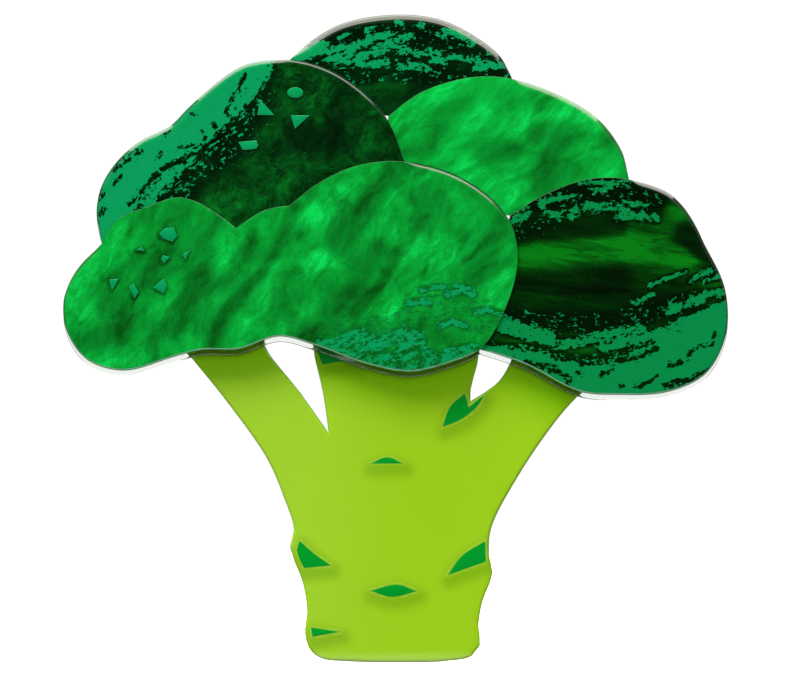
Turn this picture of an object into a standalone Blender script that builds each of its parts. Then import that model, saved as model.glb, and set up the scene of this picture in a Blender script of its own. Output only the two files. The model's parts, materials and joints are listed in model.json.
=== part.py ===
"""A flat broccoli brooch: layered acrylic plates with a hinged bar pin on the back.

Metres, +Z up, the face towards -Y. The outlines below are drawn in millimetres in the plane of the
face: x to the right, z up from the foot of the trunk. The origin is the middle of the needle's axis.
"""

import math

import bpy
import bmesh
from mathutils import Vector
from mathutils.geometry import tessellate_polygon

MM = 0.001

# Layers, front to back (mm)
FLORET_THICK = 2.2
BASE_THICK = 1.2
STEM_THICK = 2.5
GLUE = 0.05
JOINT_GAP = 0.10
# How far forward of the others these florets stand
PROUD = {"floret_front": 0.30, "floret_left": 0.26}
CHIP_THICK = 0.15
MARK_DEPTH = 0.40

# Edge rounding (mm)
ROUND_OUTER = 0.75
ROUND_JOINT = 0.16
ROUND_STEM = 0.70
ROUND_STEM_BACK = 0.45
ROUND_BASE = 0.35
RAMP = 2.5
STEP = 1.25
STEM_STEP = 0.85

# Pin hardware (mm); the needle lies along X at y = 0, z = PIN_HEIGHT
PIN_HEIGHT = 36.5
NEEDLE_STANDOFF = 3.0
WIRE_R = 0.45
BAR_LENGTH, BAR_WIDTH, BAR_THICK = 32.0, 4.8, 0.8
BAR_HOLE_R, BAR_HOLE_X = 0.9, 6.0
BAR_BACK_ROUND, BAR_GLUED_ROUND = 0.2, 0.12
HINGE_X = -13.6
CATCH_X = 13.4
CATCH_LENGTH = 3.2
EYE_R, EYE_HOLE_R, EYE_THICK = 1.05, 0.56, 1.0
EAR_INNER, EAR_THICK, EAR_R, EAR_FOOT_HALF, BRACKET_HALF = 1.3, 0.5, 1.3, 1.7, 2.0
RIVET_R, RIVET_HEAD_R, RIVET_HEAD_THICK, RIVET_HOLE_R, RIVET_PLAY = 0.45, 0.85, 0.5, 0.55, 0.06
BARREL_R, BARREL_BORE_R, BARREL_SLOT_HALF = 1.75, 1.25, 0.70
BARREL_NECK_Y, BARREL_NECK_HALF, BARREL_FOOT_HALF, BARREL_FOOT_THICK = -2.0, 0.95, 1.9, 0.4
ROLLER_R, ROLLER_BORE_R, ROLLER_SLOT_HALF = 1.12, 0.72, 0.62
ROLLER_SHORT_END, ROLLER_LONG_END = 0.3, 0.75
LEVER_R, LEVER_BORE_R, LEVER_SLOT_HALF = 1.6, 0.9, 0.66
LEVER_REACH, LEVER_TIP_HALF, LEVER_GAP, LEVER_THICK = 4.0, 0.42, 0.12, 0.58

BAR_FACE = -NEEDLE_STANDOFF
STEM_BACK = BAR_FACE - BAR_THICK - GLUE
STEM_FRONT = STEM_BACK - STEM_THICK
BASE_BACK = STEM_FRONT - GLUE
BASE_FRONT = BASE_BACK - BASE_THICK
FLORET_BACK = BASE_FRONT - GLUE
FLORET_FRONT = FLORET_BACK - FLORET_THICK
CHIP_GLUE = 0.02
BASE_DROP = 0.44

# Colours: (red, green, blue), metallic, roughness
PALETTE = {
    "lime": ((0.42, 0.63, 0.02), 0.0, 0.18),
    "mark": ((0.0, 0.33, 0.03), 0.0, 0.22),
    "clear": ((0.85, 0.92, 0.86), 0.0, 0.08),
    "bright_pearl": ((0.01, 0.32, 0.04), 0.0, 0.15),
    "dark_pearl": ((0.0, 0.07, 0.01), 0.0, 0.15),
    "emerald": ((0.01, 0.35, 0.12), 0.0, 0.35),
    "steel": ((0.72, 0.71, 0.68), 1.0, 0.28),
}

# Junctions where outlines meet (mm)
LEFT_END = (-26.45, 37.7)
LEFT_NOTCH = (-14.4, 39.05)
LEFT_BUMP = (-9.6, 41.1)
TOP_LEFT = (-9.6, 54.2)
TOP_RIGHT = (10.4, 52.5)
RIGHT_NOTCH = (20.9, 43.45)
LOWER_RIGHT = (7.5, 28.16)
JOINT_HIGH = (-0.9, 49.0)
JOINT_MIDDLE = (0.7, 45.05)
JOINT_RIGHT = (10.0, 40.05)
EASED = (JOINT_HIGH, JOINT_RIGHT)
EASE = 0.25


def smooth(points, step=STEP):
    """Samples of a smooth curve through these points, each point among them. Two make a line."""
    if len(points) == 2:
        return list(points)
    knots = [Vector(p) for p in points]
    knots = [2 * knots[0] - knots[1]] + knots + [2 * knots[-1] - knots[-2]]
    samples = []
    for a, b, c, d in zip(knots, knots[1:], knots[2:], knots[3:]):
        t1 = math.sqrt((b - a).length)
        t2 = t1 + math.sqrt((c - b).length)
        t3 = t2 + math.sqrt((d - c).length)
        count = max(1, round((c - b).length / step))
        for i in range(count):
            t = t1 + (t2 - t1) * i / count
            ab = a.lerp(b, t / t1)
            bc = b.lerp(c, (t - t1) / (t2 - t1))
            cd = c.lerp(d, (t - t2) / (t3 - t2))
            abc = ab.lerp(bc, t / t2)
            bcd = bc.lerp(cd, (t - t1) / (t3 - t1))
            samples.append(tuple(abc.lerp(bcd, (t - t1) / (t2 - t1))))
    samples.append(tuple(points[-1]))
    return samples


def between(curve, start, end):
    """The stretch of a sampled curve from start to end, either way round."""
    at = [min(range(len(curve)), key=lambda i: math.dist(curve[i], p)) for p in (start, end)]
    if at[0] <= at[1]:
        return curve[at[0] : at[1] + 1]
    return curve[at[1] : at[0] + 1][::-1]


# Each contour is one smooth lobe; florets behind it are cut to its line.
FRONT_SHOULDER = smooth(
    [LEFT_NOTCH, (-16.7, 40.7), (-19.3, 41.85), (-22.5, 40.95), (-25.2, 39.75), LEFT_END]
)
FRONT_LOBES = smooth(
    [
        LEFT_END,
        (-28.55, 35.65),
        (-29.9, 32.9),
        (-29.67, 29.77),
        (-27.75, 27.14),
        (-24.4, 26.22),
        (-20.4, 27.32),
        (-17.6, 28.04),
        (-14.1, 28.14),
        (-10.6, 29.28),
        (-7.2, 28.44),
        (-3.0, 26.9),
        (1.2, 26.1),
        (4.9, 26.95),
        LOWER_RIGHT,
        (9.6, 31.4),
        (10.9, 36.2),
        JOINT_RIGHT,
        (6.0, 43.5),
        JOINT_MIDDLE,
        (-3.6, 44.65),
        (-7.0, 43.1),
        LEFT_BUMP,
    ]
)
FRONT_SADDLE = smooth([LEFT_BUMP, (-11.9, 40.65), LEFT_NOTCH])
LEFT_LOBES = smooth(
    [
        JOINT_MIDDLE,
        JOINT_HIGH,
        (-3.9, 52.0),
        (-6.8, 53.6),
        TOP_LEFT,
        (-13.74, 53.75),
        (-18.15, 50.5),
        (-20.55, 48.17),
        (-22.8, 47.1),
        (-24.9, 45.4),
        (-26.5, 43.0),
        (-27.0, 40.4),
        LEFT_END,
    ]
)
TOP_LOBE = smooth(
    [TOP_RIGHT, (9.5, 54.4), (7.2, 56.3), (3.9, 57.9), (-0.2, 58.33), (-4.8, 57.55), (-7.6, 56.0), TOP_LEFT]
)
RIGHT_UPPER_LOBE = smooth(
    [
        RIGHT_NOTCH,
        (20.4, 45.8),
        (18.3, 48.8),
        (14.6, 51.1),
        TOP_RIGHT,
        (6.6, 52.6),
        (2.2, 51.25),
        JOINT_HIGH,
    ]
)
RIGHT_LOWER_LOBE = smooth(
    [
        LOWER_RIGHT,
        (11.6, 26.75),
        (16.4, 24.34),
        (20.0, 24.04),
        (24.4, 24.3),
        (27.9, 26.0),
        (29.7, 29.6),
        (29.55, 33.8),
        (27.75, 37.65),
        (26.5, 40.1),
        (24.65, 42.17),
        RIGHT_NOTCH,
        (17.2, 43.45),
        (13.2, 42.0),
        JOINT_RIGHT,
    ]
)

# Florets as (stretch, is it an outer edge), running anticlockwise seen from the front
FLORETS = {
    "floret_front": [
        (FRONT_SHOULDER, False),
        (between(FRONT_LOBES, LEFT_END, LOWER_RIGHT), True),
        (between(FRONT_LOBES, LOWER_RIGHT, LEFT_BUMP), False),
        (FRONT_SADDLE, False),
    ],
    "floret_left": [
        (between(LEFT_LOBES, JOINT_MIDDLE, TOP_LEFT), False),
        (between(LEFT_LOBES, TOP_LEFT, LEFT_END), True),
        (FRONT_SHOULDER[::-1], False),
        (FRONT_SADDLE[::-1], False),
        (between(FRONT_LOBES, LEFT_BUMP, JOINT_MIDDLE), False),
    ],
    "floret_top": [
        (TOP_LOBE, True),
        (between(LEFT_LOBES, TOP_LEFT, JOINT_HIGH), False),
        (between(RIGHT_UPPER_LOBE, JOINT_HIGH, TOP_RIGHT), False),
    ],
    "floret_right_upper": [
        (between(RIGHT_UPPER_LOBE, RIGHT_NOTCH, TOP_RIGHT), True),
        (between(RIGHT_UPPER_LOBE, TOP_RIGHT, JOINT_HIGH), False),
        (between(LEFT_LOBES, JOINT_HIGH, JOINT_MIDDLE), False),
        (between(FRONT_LOBES, JOINT_MIDDLE, JOINT_RIGHT), False),
        (between(RIGHT_LOWER_LOBE, JOINT_RIGHT, RIGHT_NOTCH), False),
    ],
    "floret_right_lower": [
        (between(RIGHT_LOWER_LOBE, LOWER_RIGHT, RIGHT_NOTCH), True),
        (between(RIGHT_LOWER_LOBE, RIGHT_NOTCH, JOINT_RIGHT), False),
        (between(FRONT_LOBES, JOINT_RIGHT, LOWER_RIGHT), False),
    ],
}
DARK_FLORETS = ("floret_left", "floret_top", "floret_right_lower")

SILHOUETTE = (
    between(FRONT_LOBES, LEFT_END, LOWER_RIGHT)
    + between(RIGHT_LOWER_LOBE, LOWER_RIGHT, RIGHT_NOTCH)
    + between(RIGHT_UPPER_LOBE, RIGHT_NOTCH, TOP_RIGHT)
    + TOP_LOBE
    + between(LEFT_LOBES, TOP_LEFT, LEFT_END)
)

# The stem plate: trunk and branches, then the crown hidden behind the florets
STEM_OUTLINE = smooth(
    [
        (-18.95, 27.95),
        (-15.3, 23.45),
        (-11.7, 18.35),
        (-10.15, 14.8),
        (-9.25, 11.9),
        (-9.6, 10.4),
        (-9.28, 9.2),
        (-8.5, 7.2),
        (-8.08, 4.5),
        (-8.27, 2.8),
        (-7.87, 1.15),
        (-6.75, 0.28),
        (-4.0, 0.02),
        (0.4, -0.05),
        (4.4, 0.05),
        (6.8, 0.48),
        (7.55, 1.45),
        (7.43, 3.3),
        (7.78, 5.4),
        (8.68, 8.0),
        (8.38, 9.6),
        (8.55, 12.0),
        (11.07, 16.87),
        (14.58, 21.95),
        (17.98, 25.85),
        (20.6, 30.5),
        (20.2, 36.0),
        (16.5, 39.2),
        (9.5, 39.5),
        (0.0, 39.6),
        (-9.5, 39.5),
        (-16.8, 39.2),
        (-20.6, 36.0),
        (-20.9, 31.8),
        (-18.95, 27.95),
    ],
    STEM_STEP,
)[:-1]
LEFT_WINDOW = smooth(
    [
        (-6.12, 20.65),
        (-8.67, 24.25),
        (-11.95, 28.65),
        (-12.0, 30.2),
        (-9.9, 31.0),
        (-7.85, 30.3),
        (-7.4, 27.6),
        (-6.63, 24.2),
        (-6.12, 20.65),
    ]
)[:-1]
RIGHT_WINDOW = smooth(
    [
        (6.68, 23.5),
        (6.71, 24.5),
        (7.31, 26.9),
        (7.75, 29.0),
        (9.2, 30.1),
        (10.75, 29.2),
        (10.3, 27.08),
        (9.1, 25.15),
        (6.68, 23.5),
    ]
)[:-1]

# Dark fills let into the stem's face; those at an edge run past it and are trimmed to it
MARKS = {
    "mark_upper_dash": [[(-2.45, 17.84), (-0.85, 18.5), (0.75, 17.84)], [(0.75, 17.84), (-2.45, 17.84)]],
    "mark_lower_dash": [[(-2.5, 6.4), (0.1, 7.0), (1.95, 6.35)], [(1.95, 6.35), (-0.4, 5.8), (-2.5, 6.4)]],
    "mark_left_knot": [
        [(-8.75, 11.0), (-7.6, 9.95), (-5.8, 8.65)],
        [(-5.8, 8.65), (-8.35, 8.4)],
        [(-8.35, 8.4), (-9.0, 10.0), (-8.75, 11.0)],
    ],
    "mark_right_knot": [
        [(8.05, 10.95), (5.9, 9.6), (4.55, 7.75)],
        [(4.55, 7.75), (8.1, 9.0)],
        [(8.1, 9.0), (8.05, 10.95)],
    ],
    "mark_foot_wedge": [
        [(-7.75, 3.15), (-4.95, 2.7)],
        [(-4.95, 2.7), (-7.6, 2.2)],
        [(-7.6, 2.2), (-7.75, 3.15)],
    ],
    "mark_fork_leaf": [
        [(6.2, 24.25), (4.8, 23.0), (4.1, 21.1)],
        [(4.1, 21.1), (5.9, 21.85), (7.4, 23.1), (8.05, 24.2)],
        [(8.05, 24.2), (6.55, 23.0)],
        [(6.55, 23.0), (6.2, 24.25)],
    ],
    "mark_neck_sliver": [
        [(-7.6, 29.3), (-6.7, 26.75)],
        [(-6.7, 26.75), (-5.25, 27.0), (-3.3, 27.0)],
        [(-3.3, 27.0), (-3.6, 29.3)],
        [(-3.6, 29.3), (-7.6, 29.3)],
    ],
}

# Flat chips glued on the left floret and on the front floret's left lobe
CHIPS = {
    "chip_left_1": [(-12.25, 50.6), (-12.5, 49.25), (-10.95, 49.2)],
    "chip_left_2": [(-9.5, 49.2), (-7.8, 49.2), (-9.1, 48.0)],
    "chip_left_3": [(-14.2, 46.8), (-13.8, 46.1), (-12.6, 46.2), (-12.4, 46.5), (-12.6, 46.95)],
    "chip_front_1": [
        (-21.3, 38.6), (-20.85, 39.05), (-20.0, 39.15), (-19.7, 38.35), (-20.1, 37.85), (-21.05, 38.2),
    ],
    "chip_front_2": [(-23.4, 37.1), (-22.6, 37.0), (-22.9, 37.4)],
    "chip_front_3": [(-21.15, 36.3), (-20.9, 35.9), (-20.35, 36.45), (-21.0, 36.65)],
    "chip_front_4": [(-19.25, 36.75), (-18.95, 36.25), (-18.5, 37.1)],
    "chip_front_5": [(-25.8, 34.45), (-25.55, 33.5), (-24.9, 34.55)],
    "chip_front_6": [(-24.05, 33.8), (-23.5, 32.8), (-23.15, 33.3), (-23.6, 34.05)],
    "chip_front_7": [(-21.85, 33.75), (-20.9, 33.2), (-20.6, 33.85), (-20.9, 34.55)],
}
BLOB_CENTRE, BLOB_RADII = (-9.1, 51.25), (0.72, 0.48)
CHIP_ROUND = 0.07


def offset_inwards(loop, distances):
    """The loop moved towards its left-hand side by each point's own distance, mitred at corners."""
    moved = []
    count = len(loop)
    for i, distance in enumerate(distances):
        here = Vector(loop[i])
        before = (here - Vector(loop[i - 1])).normalized()
        after = (Vector(loop[(i + 1) % count]) - here).normalized()
        left = Vector((-before.y - after.y, before.x + after.x))
        if left.length < 1e-6:
            left = Vector((-before.y, before.x))
        left.normalize()
        square = max(0.45, left.dot(Vector((-after.y, after.x))))
        moved.append(tuple(here + left * distance / square))
    return moved


def joined(stretches):
    """One closed loop from outline stretches, with a rounding radius at each point."""
    loop = []
    rounds = []
    for stretch, outer in stretches:
        lengths = [0.0]
        for a, b in zip(stretch, stretch[1:]):
            lengths.append(lengths[-1] + math.dist(a, b))
        for point, length in zip(stretch[:-1], lengths):
            near = min(1.0, min(length, lengths[-1] - length) / RAMP)
            grown = ROUND_JOINT + (ROUND_OUTER - ROUND_JOINT) * near * near * (3 - 2 * near)
            loop.append(point)
            rounds.append(grown if outer else ROUND_JOINT)
    return eased(loop, rounds)


def eased(loop, rounds):
    """Takes the tips off the corners that leave a pinhole where three florets meet."""
    points = []
    radii = []
    for i, point in enumerate(loop):
        if min(math.dist(point, corner) for corner in EASED) > 1e-6:
            points.append(point)
            radii.append(rounds[i])
            continue
        for other in (loop[i - 1], loop[(i + 1) % len(loop)]):
            share = EASE / math.dist(point, other)
            points.append(tuple(a + (b - a) * share for a, b in zip(point, other)))
            radii.append(ROUND_JOINT)
    return points, radii


def rounding(turns):
    """(share of the radius moved in, share of the radius left below the face) for each ring."""
    angles = [math.pi / 2 * i / turns for i in range(turns + 1)]
    return [(1 - math.sin(a), 1 - math.cos(a)) for a in angles]


def mesh_object(name, points, faces, material, place="face"):
    """An object from points in millimetres: (x, z, depth) drawn on the face, or (x, y, z) at the pin."""
    mesh = bpy.data.meshes.new(name)
    if place == "face":
        corners = [(x * MM, depth * MM, (z - PIN_HEIGHT) * MM) for x, z, depth in points]
    else:
        corners = [(x * MM, y * MM, z * MM) for x, y, z in points]
    mesh.from_pydata(corners, [], faces)
    shell = bmesh.new()
    shell.from_mesh(mesh)
    bmesh.ops.recalc_face_normals(shell, faces=shell.faces)
    shell.to_mesh(mesh)
    shell.free()
    mesh.shade_smooth()
    mesh.set_sharp_from_angle(angle=math.radians(35))
    if material:
        mesh.materials.append(bpy.data.materials[material])
    thing = bpy.data.objects.new(name, mesh)
    bpy.context.collection.objects.link(thing)
    return thing


def stack(loops, rounds, front, back, front_turns=3, back_turns=0, back_round=0.0, inset=0.0):
    """Points (u, v, depth) and faces of a plate with rounded edges: rings of points, then two caps."""
    levels = [(share, front, drop, 1) for share, drop in rounding(front_turns)]
    if back_turns:
        levels += [(share, back, drop, -1) for share, drop in rounding(back_turns)[::-1]]
    else:
        levels.append((0.0, back, 0.0, -1))
    points = []
    faces = []
    caps = ([], [])
    for loop, radii in zip(loops, rounds):
        count = len(loop)
        first = len(points)
        for share, face, drop, side in levels:
            reach = radii if side == 1 else [back_round] * count
            ring = offset_inwards(loop, [inset + share * r for r in reach])
            points += [(u, v, face + side * drop * r) for (u, v), r in zip(ring, reach)]
        for level in range(len(levels) - 1):
            low = first + level * count
            for i in range(count):
                j = (i + 1) % count
                faces.append((low + i, low + j, low + count + j, low + count + i))
        caps[0].append(range(first, first + count))
        caps[1].append(range(len(points) - count, len(points)))
    for cap in caps:
        numbers = [i for ring in cap for i in ring]
        flat = [[Vector((points[i][0], points[i][1], 0.0)) for i in ring] for ring in cap]
        faces += [tuple(numbers[i] for i in triangle) for triangle in tessellate_polygon(flat)]
    return points, faces


def plate(name, material, loops, rounds, front, back, **options):
    points, faces = stack(loops, rounds, front, back, **options)
    return mesh_object(name, points, faces, material)


def arc(centre, radius, start, end, count):
    """Points on a circle from start to end, in degrees."""
    angles = [math.radians(start + (end - start) * i / count) for i in range(count + 1)]
    return [(centre[0] + radius * math.cos(a), centre[1] + radius * math.sin(a)) for a in angles]


def circle(centre, radius, count=24, clockwise=False):
    return arc(centre, radius, 0, -360 if clockwise else 360, count)[:-1]


def hide(cutter):
    cutter.hide_render = True
    cutter.display_type = "WIRE"
    return cutter


def boolean(thing, operation, cutter):
    modifier = thing.modifiers.new(operation.title(), "BOOLEAN")
    modifier.operation = operation
    modifier.solver = "EXACT"
    modifier.object = cutter
    return thing


def prism(name, outline, axis, low, high, material=None):
    """A straight prism along an axis; its outline is given in the other two axes, in their order."""
    points, faces = stack([outline], [[0.0] * len(outline)], low, high, front_turns=1)
    order = {"X": (2, 0, 1), "Y": (0, 2, 1), "Z": (0, 1, 2)}[axis]
    corners = [tuple(p[i] for i in order) for p in points]
    thing = mesh_object(name, corners, faces, material, place="pin")
    weld(thing)
    return thing


def weld(thing):
    """Merges doubled points, as where a rounding has no radius."""
    shell = bmesh.new()
    shell.from_mesh(thing.data)
    bmesh.ops.remove_doubles(shell, verts=shell.verts, dist=1e-6)
    bmesh.ops.recalc_face_normals(shell, faces=shell.faces)
    shell.to_mesh(thing.data)
    shell.free()


def turned(name, profile, axis, material, count=20):
    """A solid turned round the X or Z axis from (along, radius) points; it ends on the axis."""
    points = []
    faces = []
    for along, radius in profile[1:-1]:
        for i in range(count):
            a = 2 * math.pi * i / count
            u, v = radius * math.cos(a), radius * math.sin(a)
            points.append((along, u, v) if axis == "X" else (u, v, along))
    rings = len(profile) - 2
    for ring in range(rings - 1):
        for i in range(count):
            j = (i + 1) % count
            low, high = ring * count, (ring + 1) * count
            faces.append((low + i, low + j, high + j, high + i))
    for ring, along in ((0, profile[0][0]), (rings - 1, profile[-1][0])):
        centre = len(points)
        points.append((along, 0.0, 0.0) if axis == "X" else (0.0, 0.0, along))
        faces += [(ring * count + i, ring * count + (i + 1) % count, centre) for i in range(count)]
    return mesh_object(name, points, faces, material, place="pin")


def clear_scene():
    for thing in list(bpy.data.objects):
        bpy.data.objects.remove(thing)


def make_materials():
    for name, (colour, metallic, roughness) in PALETTE.items():
        material = bpy.data.materials.new(name)
        material.use_nodes = True
        shader = material.node_tree.nodes["Principled BSDF"]
        shader.inputs["Base Color"].default_value = (*colour, 1.0)
        shader.inputs["Metallic"].default_value = metallic
        shader.inputs["Roughness"].default_value = roughness


def make_florets():
    for name, stretches in FLORETS.items():
        loop, rounds = joined(stretches)
        material = "dark_pearl" if name in DARK_FLORETS else "bright_pearl"
        front = FLORET_FRONT - PROUD.get(name, 0.0)
        plate(name, material, [loop], [rounds], front, FLORET_BACK, inset=JOINT_GAP / 2)


def without_repeats(loop):
    return [p for i, p in enumerate(loop) if math.dist(p, loop[i - 1]) > 1e-3]


def make_base():
    loop = [(x, z - BASE_DROP) for x, z in without_repeats(SILHOUETTE)]
    rounds = [[ROUND_BASE] * len(loop)]
    plate(
        "floret_base", "clear", [loop], rounds, BASE_FRONT, BASE_BACK,
        front_turns=2, back_turns=1, back_round=ROUND_BASE,
    )


def stem_solid(name, material):
    loops = [STEM_OUTLINE, LEFT_WINDOW, RIGHT_WINDOW]
    rounds = [[ROUND_STEM] * len(loop) for loop in loops]
    return plate(
        name, material, loops, rounds, STEM_FRONT, STEM_BACK,
        back_turns=2, back_round=ROUND_STEM_BACK,
    )


def anticlockwise(loop):
    area = sum(a[0] * b[1] - b[0] * a[1] for a, b in zip(loop, loop[1:] + loop[:1]))
    return loop if area > 0 else loop[::-1]


def make_stem():
    """The stem plate, and its dark fills, which are cut from the same rounded plate."""
    stem = stem_solid("stem_plate", "lime")
    blank = hide(stem_solid("stem_blank", None))
    for name, strokes in MARKS.items():
        loop = [p for stroke in strokes for p in smooth(stroke, 0.6)[:-1]]
        loop = anticlockwise(loop)
        fitted = offset_inwards(loop, [0.03] * len(loop))
        raised = [(x, z - PIN_HEIGHT) for x, z in loop]
        sunk = [(x, z - PIN_HEIGHT) for x, z in fitted]
        pocket = prism(name + "_pocket", raised, "Y", STEM_FRONT - 1.0, STEM_FRONT + MARK_DEPTH)
        boolean(stem, "DIFFERENCE", hide(pocket))
        fill = prism(name, sunk, "Y", STEM_FRONT - 0.8, STEM_FRONT + MARK_DEPTH - 0.03, "mark")
        boolean(fill, "INTERSECT", blank)


def make_chips():
    outlines = dict(CHIPS)
    turns = [2 * math.pi * i / 14 for i in range(14)]
    outlines["chip_left_4"] = [
        (BLOB_CENTRE[0] + BLOB_RADII[0] * math.cos(a), BLOB_CENTRE[1] + BLOB_RADII[1] * math.sin(a))
        for a in turns
    ]
    for name, outline in outlines.items():
        loop = anticlockwise(outline)
        rounds = [[CHIP_ROUND] * len(loop)]
        back = FLORET_FRONT - PROUD["floret_" + name.split("_")[1]] - CHIP_GLUE
        plate(name, "emerald", [loop], rounds, back - CHIP_THICK, back, front_turns=2)


def make_bar():
    """The flat bar that is glued to the stem's back, with round ends and two glue holes."""
    half, radius = BAR_LENGTH / 2, BAR_WIDTH / 2
    outline = arc((half - radius, 0), radius, -90, 90, 16) + arc((radius - half, 0), radius, 90, 270, 16)
    holes = [circle((x, 0), BAR_HOLE_R, 24, clockwise=True) for x in (-BAR_HOLE_X, BAR_HOLE_X)]
    loops = [[(x, z + PIN_HEIGHT) for x, z in loop] for loop in [outline, *holes]]
    rounds = [[BAR_GLUED_ROUND] * len(loop) for loop in loops]
    plate(
        "pin_bar", "steel", loops, rounds, BAR_FACE - BAR_THICK, BAR_FACE,
        front_turns=1, back_turns=2, back_round=BAR_BACK_ROUND,
    )


def make_hinge():
    """A folded bracket with two ears, and the rivet through them. The needle's eye turns on it."""
    foot = BAR_FACE + GLUE
    out, inner, top = EAR_INNER + EAR_THICK, EAR_INNER, EAR_R + 0.3
    fold = [
        (foot, -out), (top, -out), (top, -inner), (foot + EAR_THICK, -inner),
        (foot + EAR_THICK, inner), (top, inner), (top, out), (foot, out),
    ]
    ends = HINGE_X - BRACKET_HALF, HINGE_X + BRACKET_HALF
    bracket = prism("hinge_bracket", anticlockwise(fold), "X", *ends, "steel")
    ear = arc((HINGE_X, 0.0), EAR_R, -20, 200, 18)
    ear += [(HINGE_X - EAR_FOOT_HALF, foot - 1.0), (HINGE_X + EAR_FOOT_HALF, foot - 1.0)]
    boolean(bracket, "INTERSECT", hide(prism("ear_shape", anticlockwise(ear), "Z", -4.0, 4.0)))
    bore = prism("ear_bore", circle((HINGE_X, 0.0), RIVET_HOLE_R, 24), "Z", -4.0, 4.0)
    boolean(bracket, "DIFFERENCE", hide(bore))
    low = out + RIVET_PLAY
    head = [(low, RIVET_HEAD_R), (low + 0.22, RIVET_HEAD_R), (low + RIVET_HEAD_THICK, RIVET_HEAD_R * 0.6)]
    half = [(low, RIVET_R), *head, (low + RIVET_HEAD_THICK, 0.0)]
    rivet = turned("hinge_rivet", [(-along, radius) for along, radius in half[::-1]] + half, "Z", "steel", 24)
    rivet.location.x = HINGE_X * MM


def make_needle():
    """A pointed wire with a flattened, pierced eye; its origin is on the hinge's axis."""
    count = 28
    points, faces = stack(
        [circle((0, 0), EYE_R, count), circle((0, 0), EYE_HOLE_R, count, clockwise=True)],
        [[0.1] * count, [0.05] * count], -EYE_THICK / 2, EYE_THICK / 2,
        front_turns=1, back_turns=1, back_round=0.1,
    )
    needle = mesh_object("needle", points, faces, "steel", place="pin")
    tip = CATCH_X + CATCH_LENGTH / 2 - 0.5 - HINGE_X
    wire = [
        (0.75, 0.0), (0.75, WIRE_R), (tip - 3.4, WIRE_R), (tip - 2.0, WIRE_R * 0.82),
        (tip - 0.8, WIRE_R * 0.45), (tip - 0.1, WIRE_R * 0.15), (tip, 0.0),
    ]
    boolean(needle, "UNION", hide(turned("needle_wire", wire, "X", None, 16)))
    for thing in (needle, bpy.data.objects["needle_wire"]):
        thing.location.x = HINGE_X * MM


def slot_angle(half, radius):
    """Degrees from +Y to the edge of a slot this half wide, on a circle of this radius."""
    return math.degrees(math.asin(half / radius))


def slotted(outer, bore, half, turns=18):
    """A C in the YZ plane, open towards +Y by twice half, as an outline."""
    wide, narrow = slot_angle(half, outer), slot_angle(half, bore)
    return arc((0, 0), outer, wide, 360 - wide, turns) + arc((0, 0), bore, 360 - narrow, narrow, turns)


def make_catch():
    """A fixed C-shaped barrel on a foot, and the roller inside it with its lever."""
    foot = BAR_FACE + GLUE
    wide, narrow = slot_angle(BARREL_SLOT_HALF, BARREL_R), slot_angle(BARREL_SLOT_HALF, BARREL_BORE_R)
    neck = [
        (BARREL_NECK_Y, BARREL_NECK_HALF), (foot + BARREL_FOOT_THICK, BARREL_NECK_HALF),
        (foot + BARREL_FOOT_THICK, BARREL_FOOT_HALF), (foot, BARREL_FOOT_HALF),
    ]
    shell = (
        arc((0, 0), BARREL_R, wide, 145, 12)
        + neck
        + [(y, -z) for y, z in neck[::-1]]
        + arc((0, 0), BARREL_R, 215, 360 - wide, 12)
        + arc((0, 0), BARREL_BORE_R, 360 - narrow, narrow, 24)
    )
    low, high = CATCH_X - CATCH_LENGTH / 2, CATCH_X + CATCH_LENGTH / 2
    prism("catch_barrel", anticlockwise(shell), "X", low, high, "steel")
    tube = slotted(ROLLER_R, ROLLER_BORE_R, ROLLER_SLOT_HALF, 24)
    ends = low - ROLLER_SHORT_END, high + ROLLER_LONG_END
    roller = prism("safety_roller", anticlockwise(tube), "X", *ends, "steel")
    wide, narrow = slot_angle(LEVER_SLOT_HALF, LEVER_R), slot_angle(LEVER_SLOT_HALF, LEVER_BORE_R)
    tip = [(LEVER_TIP_HALF, 0.4 - LEVER_REACH), (0.2, -LEVER_REACH)]
    lever = (
        arc((0, 0), LEVER_R, wide, 240, 16)
        + [(-y, z) for y, z in tip]
        + tip[::-1]
        + arc((0, 0), LEVER_R, 300, 360 - wide, 5)
        + arc((0, 0), LEVER_BORE_R, 360 - narrow, narrow, 18)
    )
    near = high + LEVER_GAP
    blade = prism("roller_lever", anticlockwise(lever), "X", near, near + LEVER_THICK)
    boolean(roller, "UNION", hide(blade))


def main():
    clear_scene()
    make_materials()
    make_florets()
    make_base()
    make_stem()
    make_chips()
    make_bar()
    make_hinge()
    make_needle()
    make_catch()


main()
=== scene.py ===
# %% [markdown]
# # A layered acrylic broccoli brooch
# The brooch is a stack of flat plates cut from glossy sheet: a lime stem, a clear base and five
# pearl-green florets, with a steel bar pin on the back. The CAD model fixes every outline and every
# place. This notebook gives each plate its polished edge, each sheet its colour, and sets the light.

# %% Load the frame
import json
import math

import bmesh
import bpy
import numpy as np
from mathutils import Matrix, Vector
from mathutils.geometry import delaunay_2d_cdt


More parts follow.
